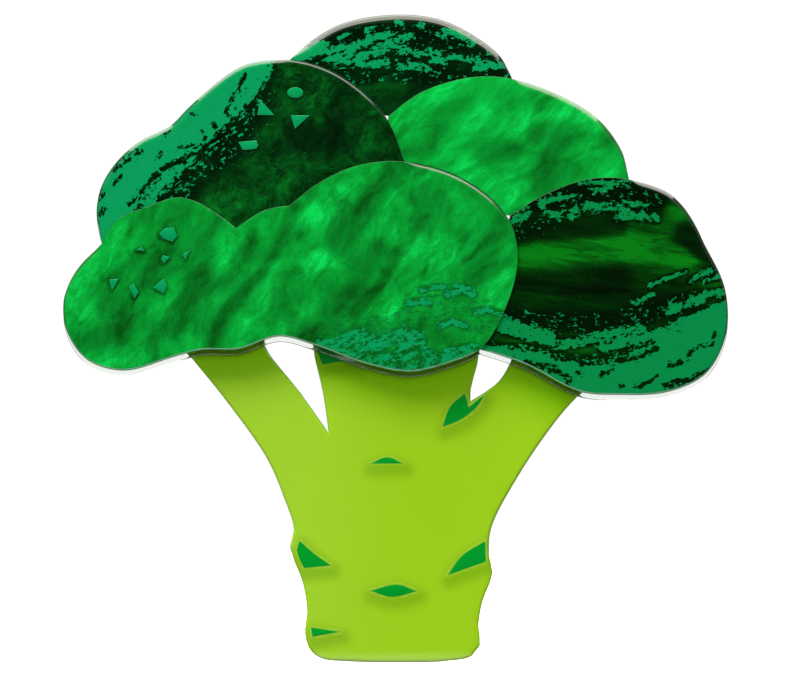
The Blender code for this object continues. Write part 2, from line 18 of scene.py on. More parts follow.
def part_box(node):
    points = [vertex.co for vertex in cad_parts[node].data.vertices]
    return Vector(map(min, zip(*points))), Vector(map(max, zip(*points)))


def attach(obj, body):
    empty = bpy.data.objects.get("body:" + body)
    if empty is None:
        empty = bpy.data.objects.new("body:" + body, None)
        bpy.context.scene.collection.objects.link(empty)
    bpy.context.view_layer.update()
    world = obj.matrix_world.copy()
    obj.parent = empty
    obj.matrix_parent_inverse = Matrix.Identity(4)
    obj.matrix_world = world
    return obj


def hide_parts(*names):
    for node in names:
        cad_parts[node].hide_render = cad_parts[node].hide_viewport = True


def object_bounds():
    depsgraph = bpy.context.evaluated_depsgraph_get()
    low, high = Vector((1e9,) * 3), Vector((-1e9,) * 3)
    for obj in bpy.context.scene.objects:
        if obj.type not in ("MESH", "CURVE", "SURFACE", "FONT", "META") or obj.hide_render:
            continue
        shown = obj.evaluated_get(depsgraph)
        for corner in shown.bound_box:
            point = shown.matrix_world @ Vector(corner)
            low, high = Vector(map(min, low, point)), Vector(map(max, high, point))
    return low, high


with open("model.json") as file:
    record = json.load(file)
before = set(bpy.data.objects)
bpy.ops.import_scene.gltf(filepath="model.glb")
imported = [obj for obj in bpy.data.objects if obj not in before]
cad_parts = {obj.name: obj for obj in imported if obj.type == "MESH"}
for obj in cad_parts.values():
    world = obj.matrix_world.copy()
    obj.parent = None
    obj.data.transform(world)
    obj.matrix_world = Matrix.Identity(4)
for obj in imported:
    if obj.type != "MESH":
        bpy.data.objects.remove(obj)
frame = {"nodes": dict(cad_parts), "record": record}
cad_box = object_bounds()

MM = 0.001
cad = frame["nodes"]
print("CAD box in mm:", [[round(c / MM, 2) for c in corner] for corner in cad_box])

# %% [markdown]
# ## Outlines
# A plate's outline is where a plane halfway through its side wall cuts the CAD solid. Reading it from
# there keeps every plate at its designed size, and a curve drawn through those points smooths away
# the straight chords between them.

# %% Cut a plate's outline from the CAD
MERGE, ON_PLANE = 1e-7, 1e-8
STRAIGHT = math.radians(0.25)


def section(name, share=0.5):
    """Closed loops of (x, z) in mm where a plane cuts a node, a share of the way to its back."""
    low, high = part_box(name)
    shell = bmesh.new()
    shell.from_mesh(cad[name].data)
    bmesh.ops.remove_doubles(shell, verts=shell.verts, dist=MERGE)
    everything = shell.verts[:] + shell.edges[:] + shell.faces[:]
    plane = {"plane_co": (0, low.y + (high.y - low.y) * share, 0), "plane_no": (0, 1, 0)}
    cut = bmesh.ops.bisect_plane(shell, geom=everything, dist=ON_PLANE, **plane)
    beside = {}
    for edge in (e for e in cut["geom_cut"] if isinstance(e, bmesh.types.BMEdge)):
        a, b = edge.verts
        beside.setdefault(a, []).append(b)
        beside.setdefault(b, []).append(a)
    loops = []
    while beside:
        start = here = next(iter(beside))
        before, loop = None, []
        while here in beside:
            loop.append((here.co.x / MM, here.co.z / MM))
            onward = [v for v in beside.pop(here) if v is not before and (v in beside or v is start)]
            before, here = here, onward[0] if onward else start
        loops.append(np.array(loop))
    shell.free()
    loops.sort(key=lambda loop: -abs(signed_area(loop)))
    return [turned_way(loop, outer=i == 0) for i, loop in enumerate(loops)]


def signed_area(loop):
    x, z = loop[:, 0], loop[:, 1]
    return 0.5 * float(np.sum(x * np.roll(z, -1) - np.roll(x, -1) * z))


def turns(loop):
    """How far the outline turns at each point, in radians."""
    ahead = np.roll(loop, -1, axis=0) - loop
    behind = loop - np.roll(loop, 1, axis=0)
    across = behind[:, 0] * ahead[:, 1] - behind[:, 1] * ahead[:, 0]
    return np.arctan2(across, np.sum(behind * ahead, axis=1))


def turned_way(loop, outer):
    """The outer loop runs anticlockwise and holes run clockwise, so that material is on the left."""
    loop = loop if (signed_area(loop) > 0) == outer else loop[::-1]
    return loop[np.abs(turns(loop)) > STRAIGHT]


# %% Draw a smooth curve through the outline
FINE = 0.25
CORNER = math.radians(20)


def smoothed(loop):
    """The loop at FINE spacing, smooth between its corners (a centripetal spline), and its corners."""
    corner = np.abs(turns(loop)) > CORNER
    count = len(loop)
    points, corners = [], []
    for i in range(count):
        b, c = loop[i], loop[(i + 1) % count]
        a = 2 * b - c if corner[i] else loop[i - 1]
        d = 2 * c - b if corner[(i + 1) % count] else loop[(i + 2) % count]
        t1 = math.sqrt(math.dist(a, b))
        t2 = t1 + math.sqrt(math.dist(b, c))
        t3 = t2 + math.sqrt(math.dist(c, d))
        steps = max(1, round(math.dist(b, c) / FINE))
        for k in range(steps):
            t = t1 + (t2 - t1) * k / steps
            ab = a + (b - a) * t / t1
            bc = b + (c - b) * (t - t1) / (t2 - t1)
            cd = c + (d - c) * (t - t2) / (t3 - t2)
            abc = ab + (bc - ab) * t / t2
            bcd = bc + (cd - bc) * (t - t1) / (t3 - t1)
            points.append(abc + (bcd - abc) * (t - t1) / (t2 - t1))
            corners.append(bool(corner[i]) and k == 0)
    return np.array(points), np.array(corners)


FLORETS = ["floret_front", "floret_left", "floret_top", "floret_right_upper", "floret_right_lower"]
floret_loops = {name: smoothed(section(name)[0]) for name in FLORETS}
for name, (loop, corners) in floret_loops.items():
    print(name, len(loop), "points,", int(corners.sum()), "corners")

# %% [markdown]
# ## Polished edges
# The florets are glued edge to edge and then polished as one. The outside edge is rounded most where
# it faces up, and a joint between neighbours of one height only has a hair of rounding. Two florets
# stand a little forward of the rest, and their edge is rounded to a lip where it faces up. How far a
# point of the outline is from the nearest neighbour tells which of these it is. All radii are in mm.

# %% Rounding radius along each outline
TOP_ROUNDS = {"floret_top": 0.80, "floret_right_upper": 0.62, "floret_right_lower": 0.55}
TOP_ROUND, UNDER_ROUND = 0.50, 0.26
JOINT_LIPS = {"floret_front": 0.52, "floret_left": 0.38}
JOINT_ROUND = 0.03
# Florets whose fronts differ by less than this are of one height.
LEVEL = 0.1
# A point nearer to a neighbour than the first is at a joint, and one beyond the second is free.
JOINT_NEAR, JOINT_FAR = 0.16, 1.0
# Each side of a joint moves out by this to close it.
JOINT_SPREAD = 0.048
# The most of the outline's own inner circle that a rounding takes up.
ROOM = 0.8
TINY = 1e-9


def smoothstep(low, high, value):
    t = np.clip((value - low) / (high - low), 0, 1)
    return t * t * (3 - 2 * t)


def distance_to(points, line, closed=True):
    """Distance of each point to a line, how far along it the nearest spot is, the side and heading."""
    ends = np.roll(line, -1, axis=0) if closed else line[1:]
    starts = line if closed else line[:-1]
    along = ends - starts
    length = np.maximum(np.linalg.norm(along, axis=1), TINY)
    offset = points[:, None, :] - starts[None]
    share = np.clip(np.sum(offset * along[None], axis=2) / length**2, 0, 1)
    gap = np.linalg.norm(offset - share[..., None] * along[None], axis=2)
    best = np.argmin(gap, axis=1)
    pick = np.arange(len(points))
    before = np.concatenate([[0], np.cumsum(length)])[best]
    side = along[best, 0] * offset[pick, best, 1] - along[best, 1] * offset[pick, best, 0]
    heading = np.arctan2(along[best, 1], along[best, 0])
    return gap[pick, best], before + share[pick, best] * length[best], np.sign(side), heading


def inward_of(loop):
    """Unit directions into the material, halfway between the outline's two sides at each point."""
    behind = loop - np.roll(loop, 1, axis=0)
    ahead = np.roll(loop, -1, axis=0) - loop
    behind = behind / np.linalg.norm(behind, axis=1)[:, None]
    ahead = ahead / np.linalg.norm(ahead, axis=1)[:, None]
    left = np.stack([-(behind + ahead)[:, 1], (behind + ahead)[:, 0]], axis=1)
    return left / np.maximum(np.linalg.norm(left, axis=1), TINY)[:, None]


def eased(loop, radii):
    """Keeps each rounding within the largest circle that touches the outline there from inside."""
    inward = inward_of(loop)
    gap = loop[None] - loop[:, None]
    ahead = np.einsum("ijk,ik->ij", gap, inward)
    with np.errstate(divide="ignore", invalid="ignore"):
        circle = np.where(ahead > 1e-6, np.sum(gap**2, axis=2) / (2 * ahead), np.inf)
    radii = np.minimum(radii, ROOM * circle.min(axis=1))
    for _ in range(3):
        radii = np.minimum(radii, (np.roll(radii, 1) + radii + np.roll(radii, -1)) / 3)
    return radii


def even(loop, radius):
    """One radius all along the loop, less only where the outline is too tight for it."""
    return eased(loop, np.full(len(loop), radius))


def floret_edge(name):
    """The floret's outline with its joints closed up, and its rounding radii."""
    loop, corners = floret_loops[name]
    gaps, level_gaps = [], [np.full(len(loop), JOINT_FAR)]
    for other in (n for n in FLORETS if n != name):
        gaps.append(distance_to(loop, floret_loops[other][0])[0])
        if abs(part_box(other)[0].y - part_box(name)[0].y) < LEVEL * MM:
            level_gaps.append(gaps[-1])
    free = smoothstep(JOINT_NEAR, JOINT_FAR, np.min(gaps, axis=0))
    stepped = smoothstep(JOINT_NEAR, JOINT_FAR, np.min(level_gaps, axis=0))
    facing_up = -inward_of(loop)[:, 1]
    facing_right = -inward_of(loop)[:, 0]
    top = TOP_ROUNDS.get(name, TOP_ROUND)
    outer = UNDER_ROUND + (top - UNDER_ROUND) * smoothstep(0.1, 0.85, facing_up)
    lip = stepped * smoothstep(0.3, 0.8, facing_up) * smoothstep(-0.5, 0.3, facing_right)
    joint = JOINT_ROUND + JOINT_LIPS.get(name, 0) * lip
    loop = moved_in(loop, -JOINT_SPREAD * (1 - free))
    return loop, eased(loop, joint + (outer - joint) * free)


# %% Build a plate with rounded edges
# The face's grid spacing in mm, the rise of its rows and its clearance from the edge in spacings,
# and how many points are measured at once.
GRID, ROW_RISE, EDGE_CLEAR, AT_ONCE = 0.24, 0.866, 0.55, 400


def moved_in(loop, distance):
    """Each point moved towards the material by its own distance, mitred."""
    ahead = np.roll(loop, -1, axis=0) - loop
    ahead = ahead / np.linalg.norm(ahead, axis=1)[:, None]
    left = inward_of(loop)
    square = np.maximum(0.5, left[:, 1] * ahead[:, 0] - left[:, 0] * ahead[:, 1])
    return loop + left * (distance / square)[:, None]


def inside(points, loop):
    """Which points lie inside the loop: a line to their right crosses it an odd number of times."""
    x, z = points[:, 0][:, None], points[:, 1][:, None]
    ax, az = loop[:, 0][None], loop[:, 1][None]
    bx, bz = np.roll(loop, -1, axis=0)[:, 0][None], np.roll(loop, -1, axis=0)[:, 1][None]
    crosses = (az > z) != (bz > z)
    with np.errstate(divide="ignore", invalid="ignore"):
        at = (bx - ax) * (z - az) / (bz - az) + ax
    return np.sum(crosses & (x < at), axis=1) % 2 == 1


def face_grid(loops, spacing):
    """Points of a triangular grid that lie inside the outline and clear of its edge."""
    low, high = loops[0].min(axis=0), loops[0].max(axis=0)
    grid = []
    for row, z in enumerate(np.arange(low[1], high[1], spacing * ROW_RISE)):
        grid += [(x, z) for x in np.arange(low[0] + spacing / 2 * (row % 2), high[0], spacing)]
    grid = np.array(grid)
    keep = inside(grid, loops[0])
    for hole in loops[1:]:
        keep &= ~inside(grid, hole)
    grid = grid[keep]
    for loop in loops:
        parts = np.array_split(grid, max(1, len(grid) // AT_ONCE))
        gaps = np.concatenate([distance_to(part, loop)[0] for part in parts])
        grid = grid[gaps > spacing * EDGE_CLEAR]
    return grid


def cap(loops, spacing):
    """Triangles over a face with holes: extra points, and faces that count the loops' points first."""
    edge_points = np.concatenate(loops)
    extra = face_grid(loops, spacing) if spacing else np.zeros((0, 2))
    edges, first = [], 0
    for loop in loops:
        edges += [(first + i, first + (i + 1) % len(loop)) for i in range(len(loop))]
        first += len(loop)
    flat = np.concatenate([edge_points, extra])
    _, _, faces, origin, _, _ = delaunay_2d_cdt([Vector(p) for p in flat], edges, [], 1, MERGE)
    faces = [tuple(origin[i][0] for i in face) for face in faces]
    if len(loops) > 1:
        middle = np.array([flat[list(face)].mean(axis=0) for face in faces])
        hollow = np.any([inside(middle, hole) for hole in loops[1:]], axis=0)
        faces = [face for face, out in zip(faces, hollow) if not out]
    return extra, faces


def rounded_plate(name, loops, radii, front, back, back_radii, steps=(7, 4), spacing=GRID):
    """A closed plate between two depths in mm, rounded in steps (front, back) by each point's radius."""
    quarter = [[math.pi / 2 * k / count for k in range(count + 1)] for count in steps]
    levels = [(1, 1 - math.sin(a), 1 - math.cos(a)) for a in quarter[0]]
    levels += [(-1, 1 - math.sin(a), 1 - math.cos(a)) for a in reversed(quarter[1])]
    points, faces, rims = [], [], ([], [])
    for loop, front_r, back_r in zip(loops, radii, back_radii):
        count, first = len(loop), len(points)
        for side, share, drop in levels:
            reach = front_r if side == 1 else back_r
            ring = moved_in(loop, share * reach)
            depth = (front if side == 1 else back) + side * drop * reach
            points += [(x, y, z) for (x, z), y in zip(ring, depth)]
        for level in range(len(levels) - 1):
            a = first + level * count
            for i in range(count):
                b = (i + 1) % count
                faces.append((a + i, a + b, a + count + b, a + count + i))
        rims[0].append(range(first, first + count))
        rims[1].append(range(len(points) - count, len(points)))
    for rim, depth, grid in ((rims[0], front, spacing), (rims[1], back, 0)):
        numbers = [i for ring in rim for i in ring]
        flat = [np.array([(points[i][0], points[i][2]) for i in ring]) for ring in rim]
        extra, triangles = cap(flat, grid)
        first = len(points)
        points += [(x, depth, z) for x, z in extra]
        numbers += range(first, first + len(extra))
        faces += [tuple(numbers[i] for i in face) for face in triangles]
    return finished(name, points, faces)


def finished(name, points, faces, sharp=None):
    """A smooth-shaded object with its faces outwards, from points in mm."""
    mesh = bpy.data.meshes.new(name)
    mesh.from_pydata([tuple(c * MM for c in p) for p in points], [], faces)
    shell = bmesh.new()
    shell.from_mesh(mesh)
    bmesh.ops.recalc_face_normals(shell, faces=shell.faces)
    shell.to_mesh(mesh)
    shell.free()
    mesh.shade_smooth()
    if sharp:
        mesh.set_sharp_from_angle(angle=math.radians(sharp))
    piece = bpy.data.objects.new(name, mesh)
    bpy.context.collection.objects.link(piece)
    return piece


def stands_for(piece, node):
    """Puts the piece in the place of a CAD node, on that node's body."""
    bodies = frame["record"]["behaviour"]["bodies"]
    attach(piece, next(body for body, members in bodies.items() if node in members))
    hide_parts(node)
    triangles = sum(len(p.vertices) - 2 for p in piece.data.polygons)
    print(f"{piece.name}: {triangles} triangles for {node}")


def even_plate(name, node, radius, steps, depths=None, share=0.5):
    """A plate with a CAD node's outline and one rounding all along it, and that outline."""
    low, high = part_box(node)
    front, back = depths or (low.y / MM, high.y / MM)
    loop = smoothed(section(node, share)[0])[0]
    radii = [even(loop, radius)]
    return rounded_plate(name, [loop], radii, front, back, radii, steps, spacing=0), loop


# %% The five floret plates
BACK_ROUND = 0.10
florets = {}
for name in FLORETS:
    low, high = (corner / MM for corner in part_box(name))
    loop, radii = floret_edge(name)
    back_radii = even(loop, BACK_ROUND)
    florets[name] = rounded_plate(name + "_plate", [loop], [radii], low.y, high.y, [back_radii], (7, 2))
    stands_for(florets[name], name)

# %% [markdown]
# ## The clear base and the stem
# The clear base peeks out a little below the florets. The stem is one lime plate with two windows
# between trunk and branches. Both have soft, polished edges all round.

# %% Clear base plate
BASE_ROUND = 0.18
base, loop = even_plate("clear_base", "floret_base", BASE_ROUND, (5, 5))
stands_for(base, "floret_base")

# %% Enamel chips
CHIP_ROUND = 0.02
chips = []
for node in (n for n in cad if n.startswith("chip_")):
    chips.append(even_plate(node + "_made", node, CHIP_ROUND, (2, 2))[0])
    stands_for(chips[-1], node)

# %% Lime stem and the marks inlaid in it
STEM_ROUND, STEM_BACK_ROUND, STEM_GRID = 0.30, 0.25, 0.3
# The stem is cut behind the marks' pockets, and a mark at a depth that is within the mark.
STEM_SHARE, MARK_SHARE = 0.7, 0.6
MARK_PROUD, MARK_ROUND, MARK_BURIED = 0.012, 0.03, 0.35
low, high = (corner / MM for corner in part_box("stem_plate"))
stem_loops = [smoothed(loop)[0] for loop in section("stem_plate", STEM_SHARE)]
radii = [even(loop, STEM_ROUND) for loop in stem_loops]
back_radii = [even(loop, STEM_BACK_ROUND) for loop in stem_loops]
stem = rounded_plate("lime_stem", stem_loops, radii, low.y, high.y, back_radii, spacing=STEM_GRID)
stands_for(stem, "stem_plate")
marks, mark_loops = {}, {}
depths = (low.y - MARK_PROUD, low.y + MARK_BURIED)
for node in (n for n in cad if n.startswith("mark_")):
    made = even_plate(node + "_fill", node, MARK_ROUND, (3, 2), depths, MARK_SHARE)
    marks[node], mark_loops[node] = made
    stands_for(marks[node], node)

# %% Metal pieces, with their edges eased
BEVELS = {"pin_bar": 0.05, "hinge_bracket": 0.07, "hinge_rivet": 0.05, "catch_barrel": 0.06,
          "safety_roller": 0.05, "needle": 0.04}
BEVEL_STEPS, FLAT, BEVEL_FROM, SHARP_FROM = 2, math.radians(1), math.radians(32), math.radians(40)


def eased_copy(node, width):
    """A merged copy of a CAD node with its hard edges bevelled to a width in mm."""
    mesh = cad[node].data.copy()
    shell = bmesh.new()
    shell.from_mesh(mesh)
    bmesh.ops.remove_doubles(shell, verts=shell.verts, dist=MERGE * 10)
    bmesh.ops.dissolve_limit(shell, angle_limit=FLAT, verts=shell.verts, edges=shell.edges)
    shell.to_mesh(mesh)
    shell.free()
    mesh.materials.clear()
    piece = bpy.data.objects.new(node + "_made", mesh)
    bpy.context.collection.objects.link(piece)
    bevel = piece.modifiers.new("Eased edges", "BEVEL")
    bevel.width = width * MM
    bevel.segments = BEVEL_STEPS
    bevel.limit_method = "ANGLE"
    bevel.angle_limit = BEVEL_FROM
    bevel.use_clamp_overlap = True
    graph = bpy.context.evaluated_depsgraph_get()
    made = bpy.data.meshes.new_from_object(piece.evaluated_get(graph))
    piece.modifiers.remove(bevel)
    piece.data = made
    made.shade_smooth()
    made.set_sharp_from_angle(angle=SHARP_FROM)
    return piece


steel_pieces = {}
for node, width in BEVELS.items():
    steel_pieces[node] = eased_copy(node, width)
    stands_for(steel_pieces[node], node)

# %% [markdown]
# ## Colours
# Pearl acrylic is cast with mica that swirls while it sets, so its colour drifts in soft smoky
# streaks. The emerald print is dry-brushed: it is solid along one edge and breaks up into flecks.

# %% Node helpers
GLOSS = {"Coat_Weight": 1.0, "Coat_Roughness": 0.04, "Coat_IOR": 1.49, "Specular_IOR_Level": 0.0}


def new_material(name, **sockets):
    """A material of one Principled shader, with some of its inputs set by name."""
    material = bpy.data.materials.new(name)
    material.use_nodes = True
    tree = material.node_tree
    tree.nodes.clear()
    output = tree.nodes.new("ShaderNodeOutputMaterial")
    shader = tree.nodes.new("ShaderNodeBsdfPrincipled")
    tree.links.new(shader.outputs[0], output.inputs[0])
    for socket, value in sockets.items():
        shader.inputs[socket.replace("_", " ")].default_value = value
    return material, tree, shader


def new_node(tree, kind, wired=(), **settings):
    """A node with settings, its inputs given as (name or number, value or socket) pairs."""
    node = tree.nodes.new(kind)
    for key, value in settings.items():
        setattr(node, key, value)
    for socket, value in wired:
        if isinstance(value, bpy.types.NodeSocket):
            tree.links.new(value, node.inputs[socket])
        else:
            node.inputs[socket].default_value = value
    return node


def add(tree, kind, wired=(), outlet=0, **settings):
    """One output of a new shader node."""
    return new_node(tree, "ShaderNode" + kind, wired, **settings).outputs[outlet]


def attribute(tree, name):
    """A number stored on the mesh."""
    return add(tree, "Attribute", outlet=2, attribute_name=name)


def mapped(tree, value, low, high, start=0.0, end=1.0):
    """The value carried over from low..high to start..end, and held there beyond."""
    return add(tree, "MapRange", [(0, value), (1, low), (2, high), (3, start), (4, end)])


def towards(tree, direction, way):
    """How squarely a direction points one way: 1 along it, 0 across it."""
    return add(tree, "VectorMath", [(0, direction), (1, way)], outlet=1, operation="DOT_PRODUCT")


def ramp(tree, value, stops):
    socket = add(tree, "ValToRGB", [(0, value)])
    band = socket.node.color_ramp
    while len(band.elements) < len(stops):
        band.elements.new(0.5)
    for element, (place, colour) in zip(band.elements, stops):
        element.position = place
        element.color = (*colour, 1)
    return socket


def in_mm(tree, turn=0.0, stretch=(1, 1, 1), centre=(0, 0, 0)):
    """Object coordinates in mm, turned about the viewing axis and stretched."""
    place = add(tree, "TexCoord", outlet=3)
    wired = [(0, place), ("Scale", (1 / MM,) * 3), ("Location", centre)]
    wired = [("Vector", add(tree, "Mapping", wired)), ("Angle", math.radians(turn))]
    turned = add(tree, "VectorRotate", wired, rotation_type="Y_AXIS")
    return add(tree, "VectorMath", [(0, turned), (1, stretch)], operation="MULTIPLY")


def noise(tree, place, scale, detail, rough, distortion=0.0):
    wired = [("Vector", place), ("Scale", scale), ("Detail", detail), ("Roughness", rough)]
    return add(tree, "TexNoise", [*wired, ("Distortion", distortion)])


def maths(tree, operation, a, b):
    return add(tree, "Math", [(0, a), (1, b)], operation=operation)


def times(tree, a, b):
    return maths(tree, "MULTIPLY", a, b)


def plus(tree, a, b):
    return maths(tree, "ADD", a, b)


def mixed(tree, share, a, b):
    """Colour a blended into colour b by a share."""
    a, b = (c if isinstance(c, bpy.types.NodeSocket) else (*c, 1) for c in (a, b))
    return add(tree, "Mix", [(0, share), (6, a), (7, b)], outlet=2, data_type="RGBA")


def rippled(tree, shader, scale, strength, depth=0.02):
    """A faint wave, depth in mm, in the polish."""
    waves = noise(tree, in_mm(tree), scale, 2.0, 0.5)
    bump = add(tree, "Bump", [("Strength", strength), ("Distance", depth * MM), ("Height", waves)])
    tree.links.new(bump, shader.inputs["Normal"])


# %% Pearl acrylic
EMERALD = (0.002, 0.31, 0.092)
EMERALD_DEEP = (0.0015, 0.25, 0.060)
# Painted shadow: the pearl near the print is darkened by this share, where the print shades the pearl
# beneath it.
SHADE_BESIDE_PRINT = 0.85
# Rims are painted darker as they turn away from the front (painted shade), and the ones that face down
# get a painted highlight, as if lit from below.
RIM_SHADE, RIM_HIGHLIGHT = 0.6, 0.8
RIM_SHADE_COLOUR, RIM_HIGHLIGHT_COLOUR = (0, 0.005, 0), (0.16, 0.60, 0.32)
# How far the swirls are pushed about, how much finer the wisps are, and what each adds to the level.
PUSH, FINER = 3.2, 3.1
CLOUD_SHARE, WISP_SHARE, MICA_SHARE = 0.55, 0.30, 0.15
INK_THICK = 0.02
FRONT, DOWN = (0, -1, 0), (0, 0, -1)


def pearl(name, stops, turn, stretch, scale, seed, lift=0.0, gain=0.11, enamel=EMERALD, outlined=False):
    """Swirled pearl acrylic with its print. stops are (level, colour).

    turn and stretch lay out the swirls, lift makes them all brighter, and gain says how much the
    painted swirls count.
    """
    material, tree, shader = new_material(name, Roughness=0.32, **GLOSS)
    place = in_mm(tree, turn, stretch, (seed * 37.0, 0, seed * 11.0))
    wired = [("Vector", place), ("Scale", scale * 0.55), ("Detail", 3.0)]
    drift = add(tree, "TexNoise", wired, outlet=1)
    push = add(tree, "VectorMath", [(0, drift), (1, (0.5, 0.5, 0.5))], operation="SUBTRACT")
    push = add(tree, "VectorMath", [(0, push), ("Scale", PUSH)], operation="SCALE")
    bent = add(tree, "VectorMath", [(0, place), (1, push)], operation="ADD")
    cloud = noise(tree, bent, scale, 6.0, 0.58, 0.4)
    wisps = noise(tree, bent, scale * FINER, 5.0, 0.62, 0.8)
    mica = noise(tree, in_mm(tree), 5.5, 3.0, 0.8)
    level = times(tree, cloud, CLOUD_SHARE)
    level = plus(tree, level, times(tree, wisps, WISP_SHARE))
    level = plus(tree, level, times(tree, mica, MICA_SHARE))
    broken = times(tree, attribute(tree, "swirl"), times(tree, wisps, 2 * gain))
    level = plus(tree, plus(tree, level, broken), lift)
    colour = ramp(tree, level, stops)
    ink, beside = print_mask(tree, outlined)
    shaded = mixed(tree, times(tree, beside, SHADE_BESIDE_PRINT), colour, stops[0][1])
    speck = noise(tree, in_mm(tree), 7.0, 2.0, 0.7)
    worn = [(0.3, tuple(c * 0.86 for c in enamel)), (0.7, tuple(c * 1.10 for c in enamel))]
    printed = mixed(tree, ink, shaded, ramp(tree, speck, worn))
    normal = add(tree, "TexCoord", outlet=1)
    facing = towards(tree, normal, FRONT)
    under = mapped(tree, towards(tree, normal, DOWN), 0.15, 0.4)
    # Painted shade on rims that turn from the front, and a painted highlight on those that face down.
    rim = mapped(tree, facing, 0.80, 0.99, RIM_SHADE, 0.0)
    rim = times(tree, rim, maths(tree, "SUBTRACT", 1.0, under))
    rim_highlight = mapped(tree, facing, 0.80, 0.96, RIM_HIGHLIGHT, 0.0)
    rim_highlight = times(tree, rim_highlight, mapped(tree, facing, 0.35, 0.6))
    shaded = mixed(tree, rim, printed, RIM_SHADE_COLOUR)
    shaded = mixed(tree, times(tree, rim_highlight, under), shaded, RIM_HIGHLIGHT_COLOUR)
    tree.links.new(shaded, shader.inputs["Base Color"])
    height = add(tree, "Bump", [("Strength", 0.3), ("Distance", INK_THICK * MM), ("Height", ink)])
    tree.links.new(height, shader.inputs["Normal"])
    return material


def print_mask(tree, outlined):
    """Ink where brushed coverage and torn noise add up to more than nothing, and the painted shadow
    beside it.

    outlined print has its painted shadow close around it, on a bright floret.
    """
    cover = attribute(tree, "cover")
    laid = add(tree, "Attribute", outlet=1, attribute_name="strokes")
    tears = maths(tree, "SUBTRACT", noise(tree, laid, 1.0, 3.0, 0.55, 0.3), 0.5)
    chips = maths(tree, "SUBTRACT", noise(tree, laid, 2.7, 3.0, 0.6, 0.2), 0.5)
    dots = maths(tree, "SUBTRACT", noise(tree, in_mm(tree), 2.6, 2.0, 0.5), 0.5)
    torn = plus(tree, times(tree, tears, 5.5), times(tree, chips, 4.5))
    dots = times(tree, dots, 2.5 if outlined else 5.5)
    edge = plus(tree, plus(tree, cover, torn), dots)
    ink = mapped(tree, edge, -0.03, 0.05)
    # Painted shadow of the print on the pearl round it.
    beside = mapped(tree, cover, -2.25, -1.3)
    if outlined:
        outline = times(tree, beside, mapped(tree, edge, -1.3, -0.1))
        beside = maths(tree, "MAXIMUM", outline, mapped(tree, cover, -1.2, -0.25, 0.0, 0.9))
    return ink, beside


BRIGHT = [
    (0.32, (0.0015, 0.075, 0.005)),
    (0.42, (0.0015, 0.19, 0.016)),
    (0.50, (0.0015, 0.29, 0.027)),
    (0.58, (0.002, 0.40, 0.042)),
    (0.68, (0.003, 0.64, 0.085)),
]
DARK = [
    (0.32, (0.0004, 0.006, 0.001)),
    (0.43, (0.0005, 0.019, 0.0025)),
    (0.50, (0.0007, 0.039, 0.0042)),
    (0.58, (0.001, 0.078, 0.007)),
    (0.70, (0.002, 0.19, 0.016)),
]
LEAF_DARK = [(place, (red, green, blue * 0.4)) for place, (red, green, blue) in DARK]
floret_looks = {
    "floret_front": pearl("bright_pearl_front", BRIGHT, 58, (0.52, 1, 1), 0.42, 1, outlined=True),
    "floret_right_upper": pearl("bright_pearl_right", BRIGHT, 40, (0.45, 1, 1), 0.36, 5, lift=0.035),
    "floret_left": pearl("dark_pearl_left", DARK, 40, (0.8, 1, 1), 0.55, 3, lift=0.018),
    "floret_top": pearl("dark_pearl_top", DARK, 25, (0.5, 1, 1), 0.36, 7, lift=0.035),
    "floret_right_lower": pearl(
        "dark_pearl_lower", LEAF_DARK, -6, (0.18, 1, 1), 0.60, 9, 0.04, gain=0.16, enamel=EMERALD_DEEP
    ),
}
for name, piece in florets.items():
    piece.data.materials.append(floret_looks[name])

# %% [markdown]
# ## Laying on print and swirls
# Both are painted like brush strokes: each stroke pulls the surface's value towards its own level
# along a line, fully within its half width and less over its soft edge. Levels run from -1, bare or
# dark, to 1, solid or bright. A line lists its points as across, height, across, height, in mm from
# the trunk's foot.

# %% Painting values onto a plate
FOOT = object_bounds()[0].z / MM
# Torn noise is this fine along a flow line and across it, and starts afresh on each line.
STROKE_ALONG, STROKE_ACROSS, LINE_APART = 1.15, 3.3, 9.0
# The cover of bare pearl, how much softer print strokes are than written, and where flecks may lie.
BARE, SOFTER = -2.3, 1.5
FRINGE = (-0.9, 0.1)


def places_of(mesh):
    """Each vertex as (across, height above the trunk's foot) in mm."""
    flat = np.empty(len(mesh.vertices) * 3, np.float32)
    mesh.vertices.foreach_get("co", flat)
    return flat.reshape(-1, 3)[:, [0, 2]].astype(float) / MM - np.array([0, FOOT])


def painted(places, strokes, ground, softer=1.0):
    """Value at each place after all strokes. A stroke is (level, half width, soft edge, line)."""
    value = np.full(len(places), float(ground))
    for level, half, soft, line in strokes:
        gap = distance_to(places, np.reshape(line, (-1, 2)), closed=False)[0]
        value += (level - value) * (1 - smoothstep(half, half + soft * softer, gap))
    return value


def store(mesh, name, values):
    """Numbers or vectors kept on the mesh's points."""
    kind, field = ("FLOAT", "value") if values.ndim == 1 else ("FLOAT_VECTOR", "vector")
    mesh.attributes.new(name, kind, "POINT").data.foreach_set(field, values.astype(np.float32).ravel())


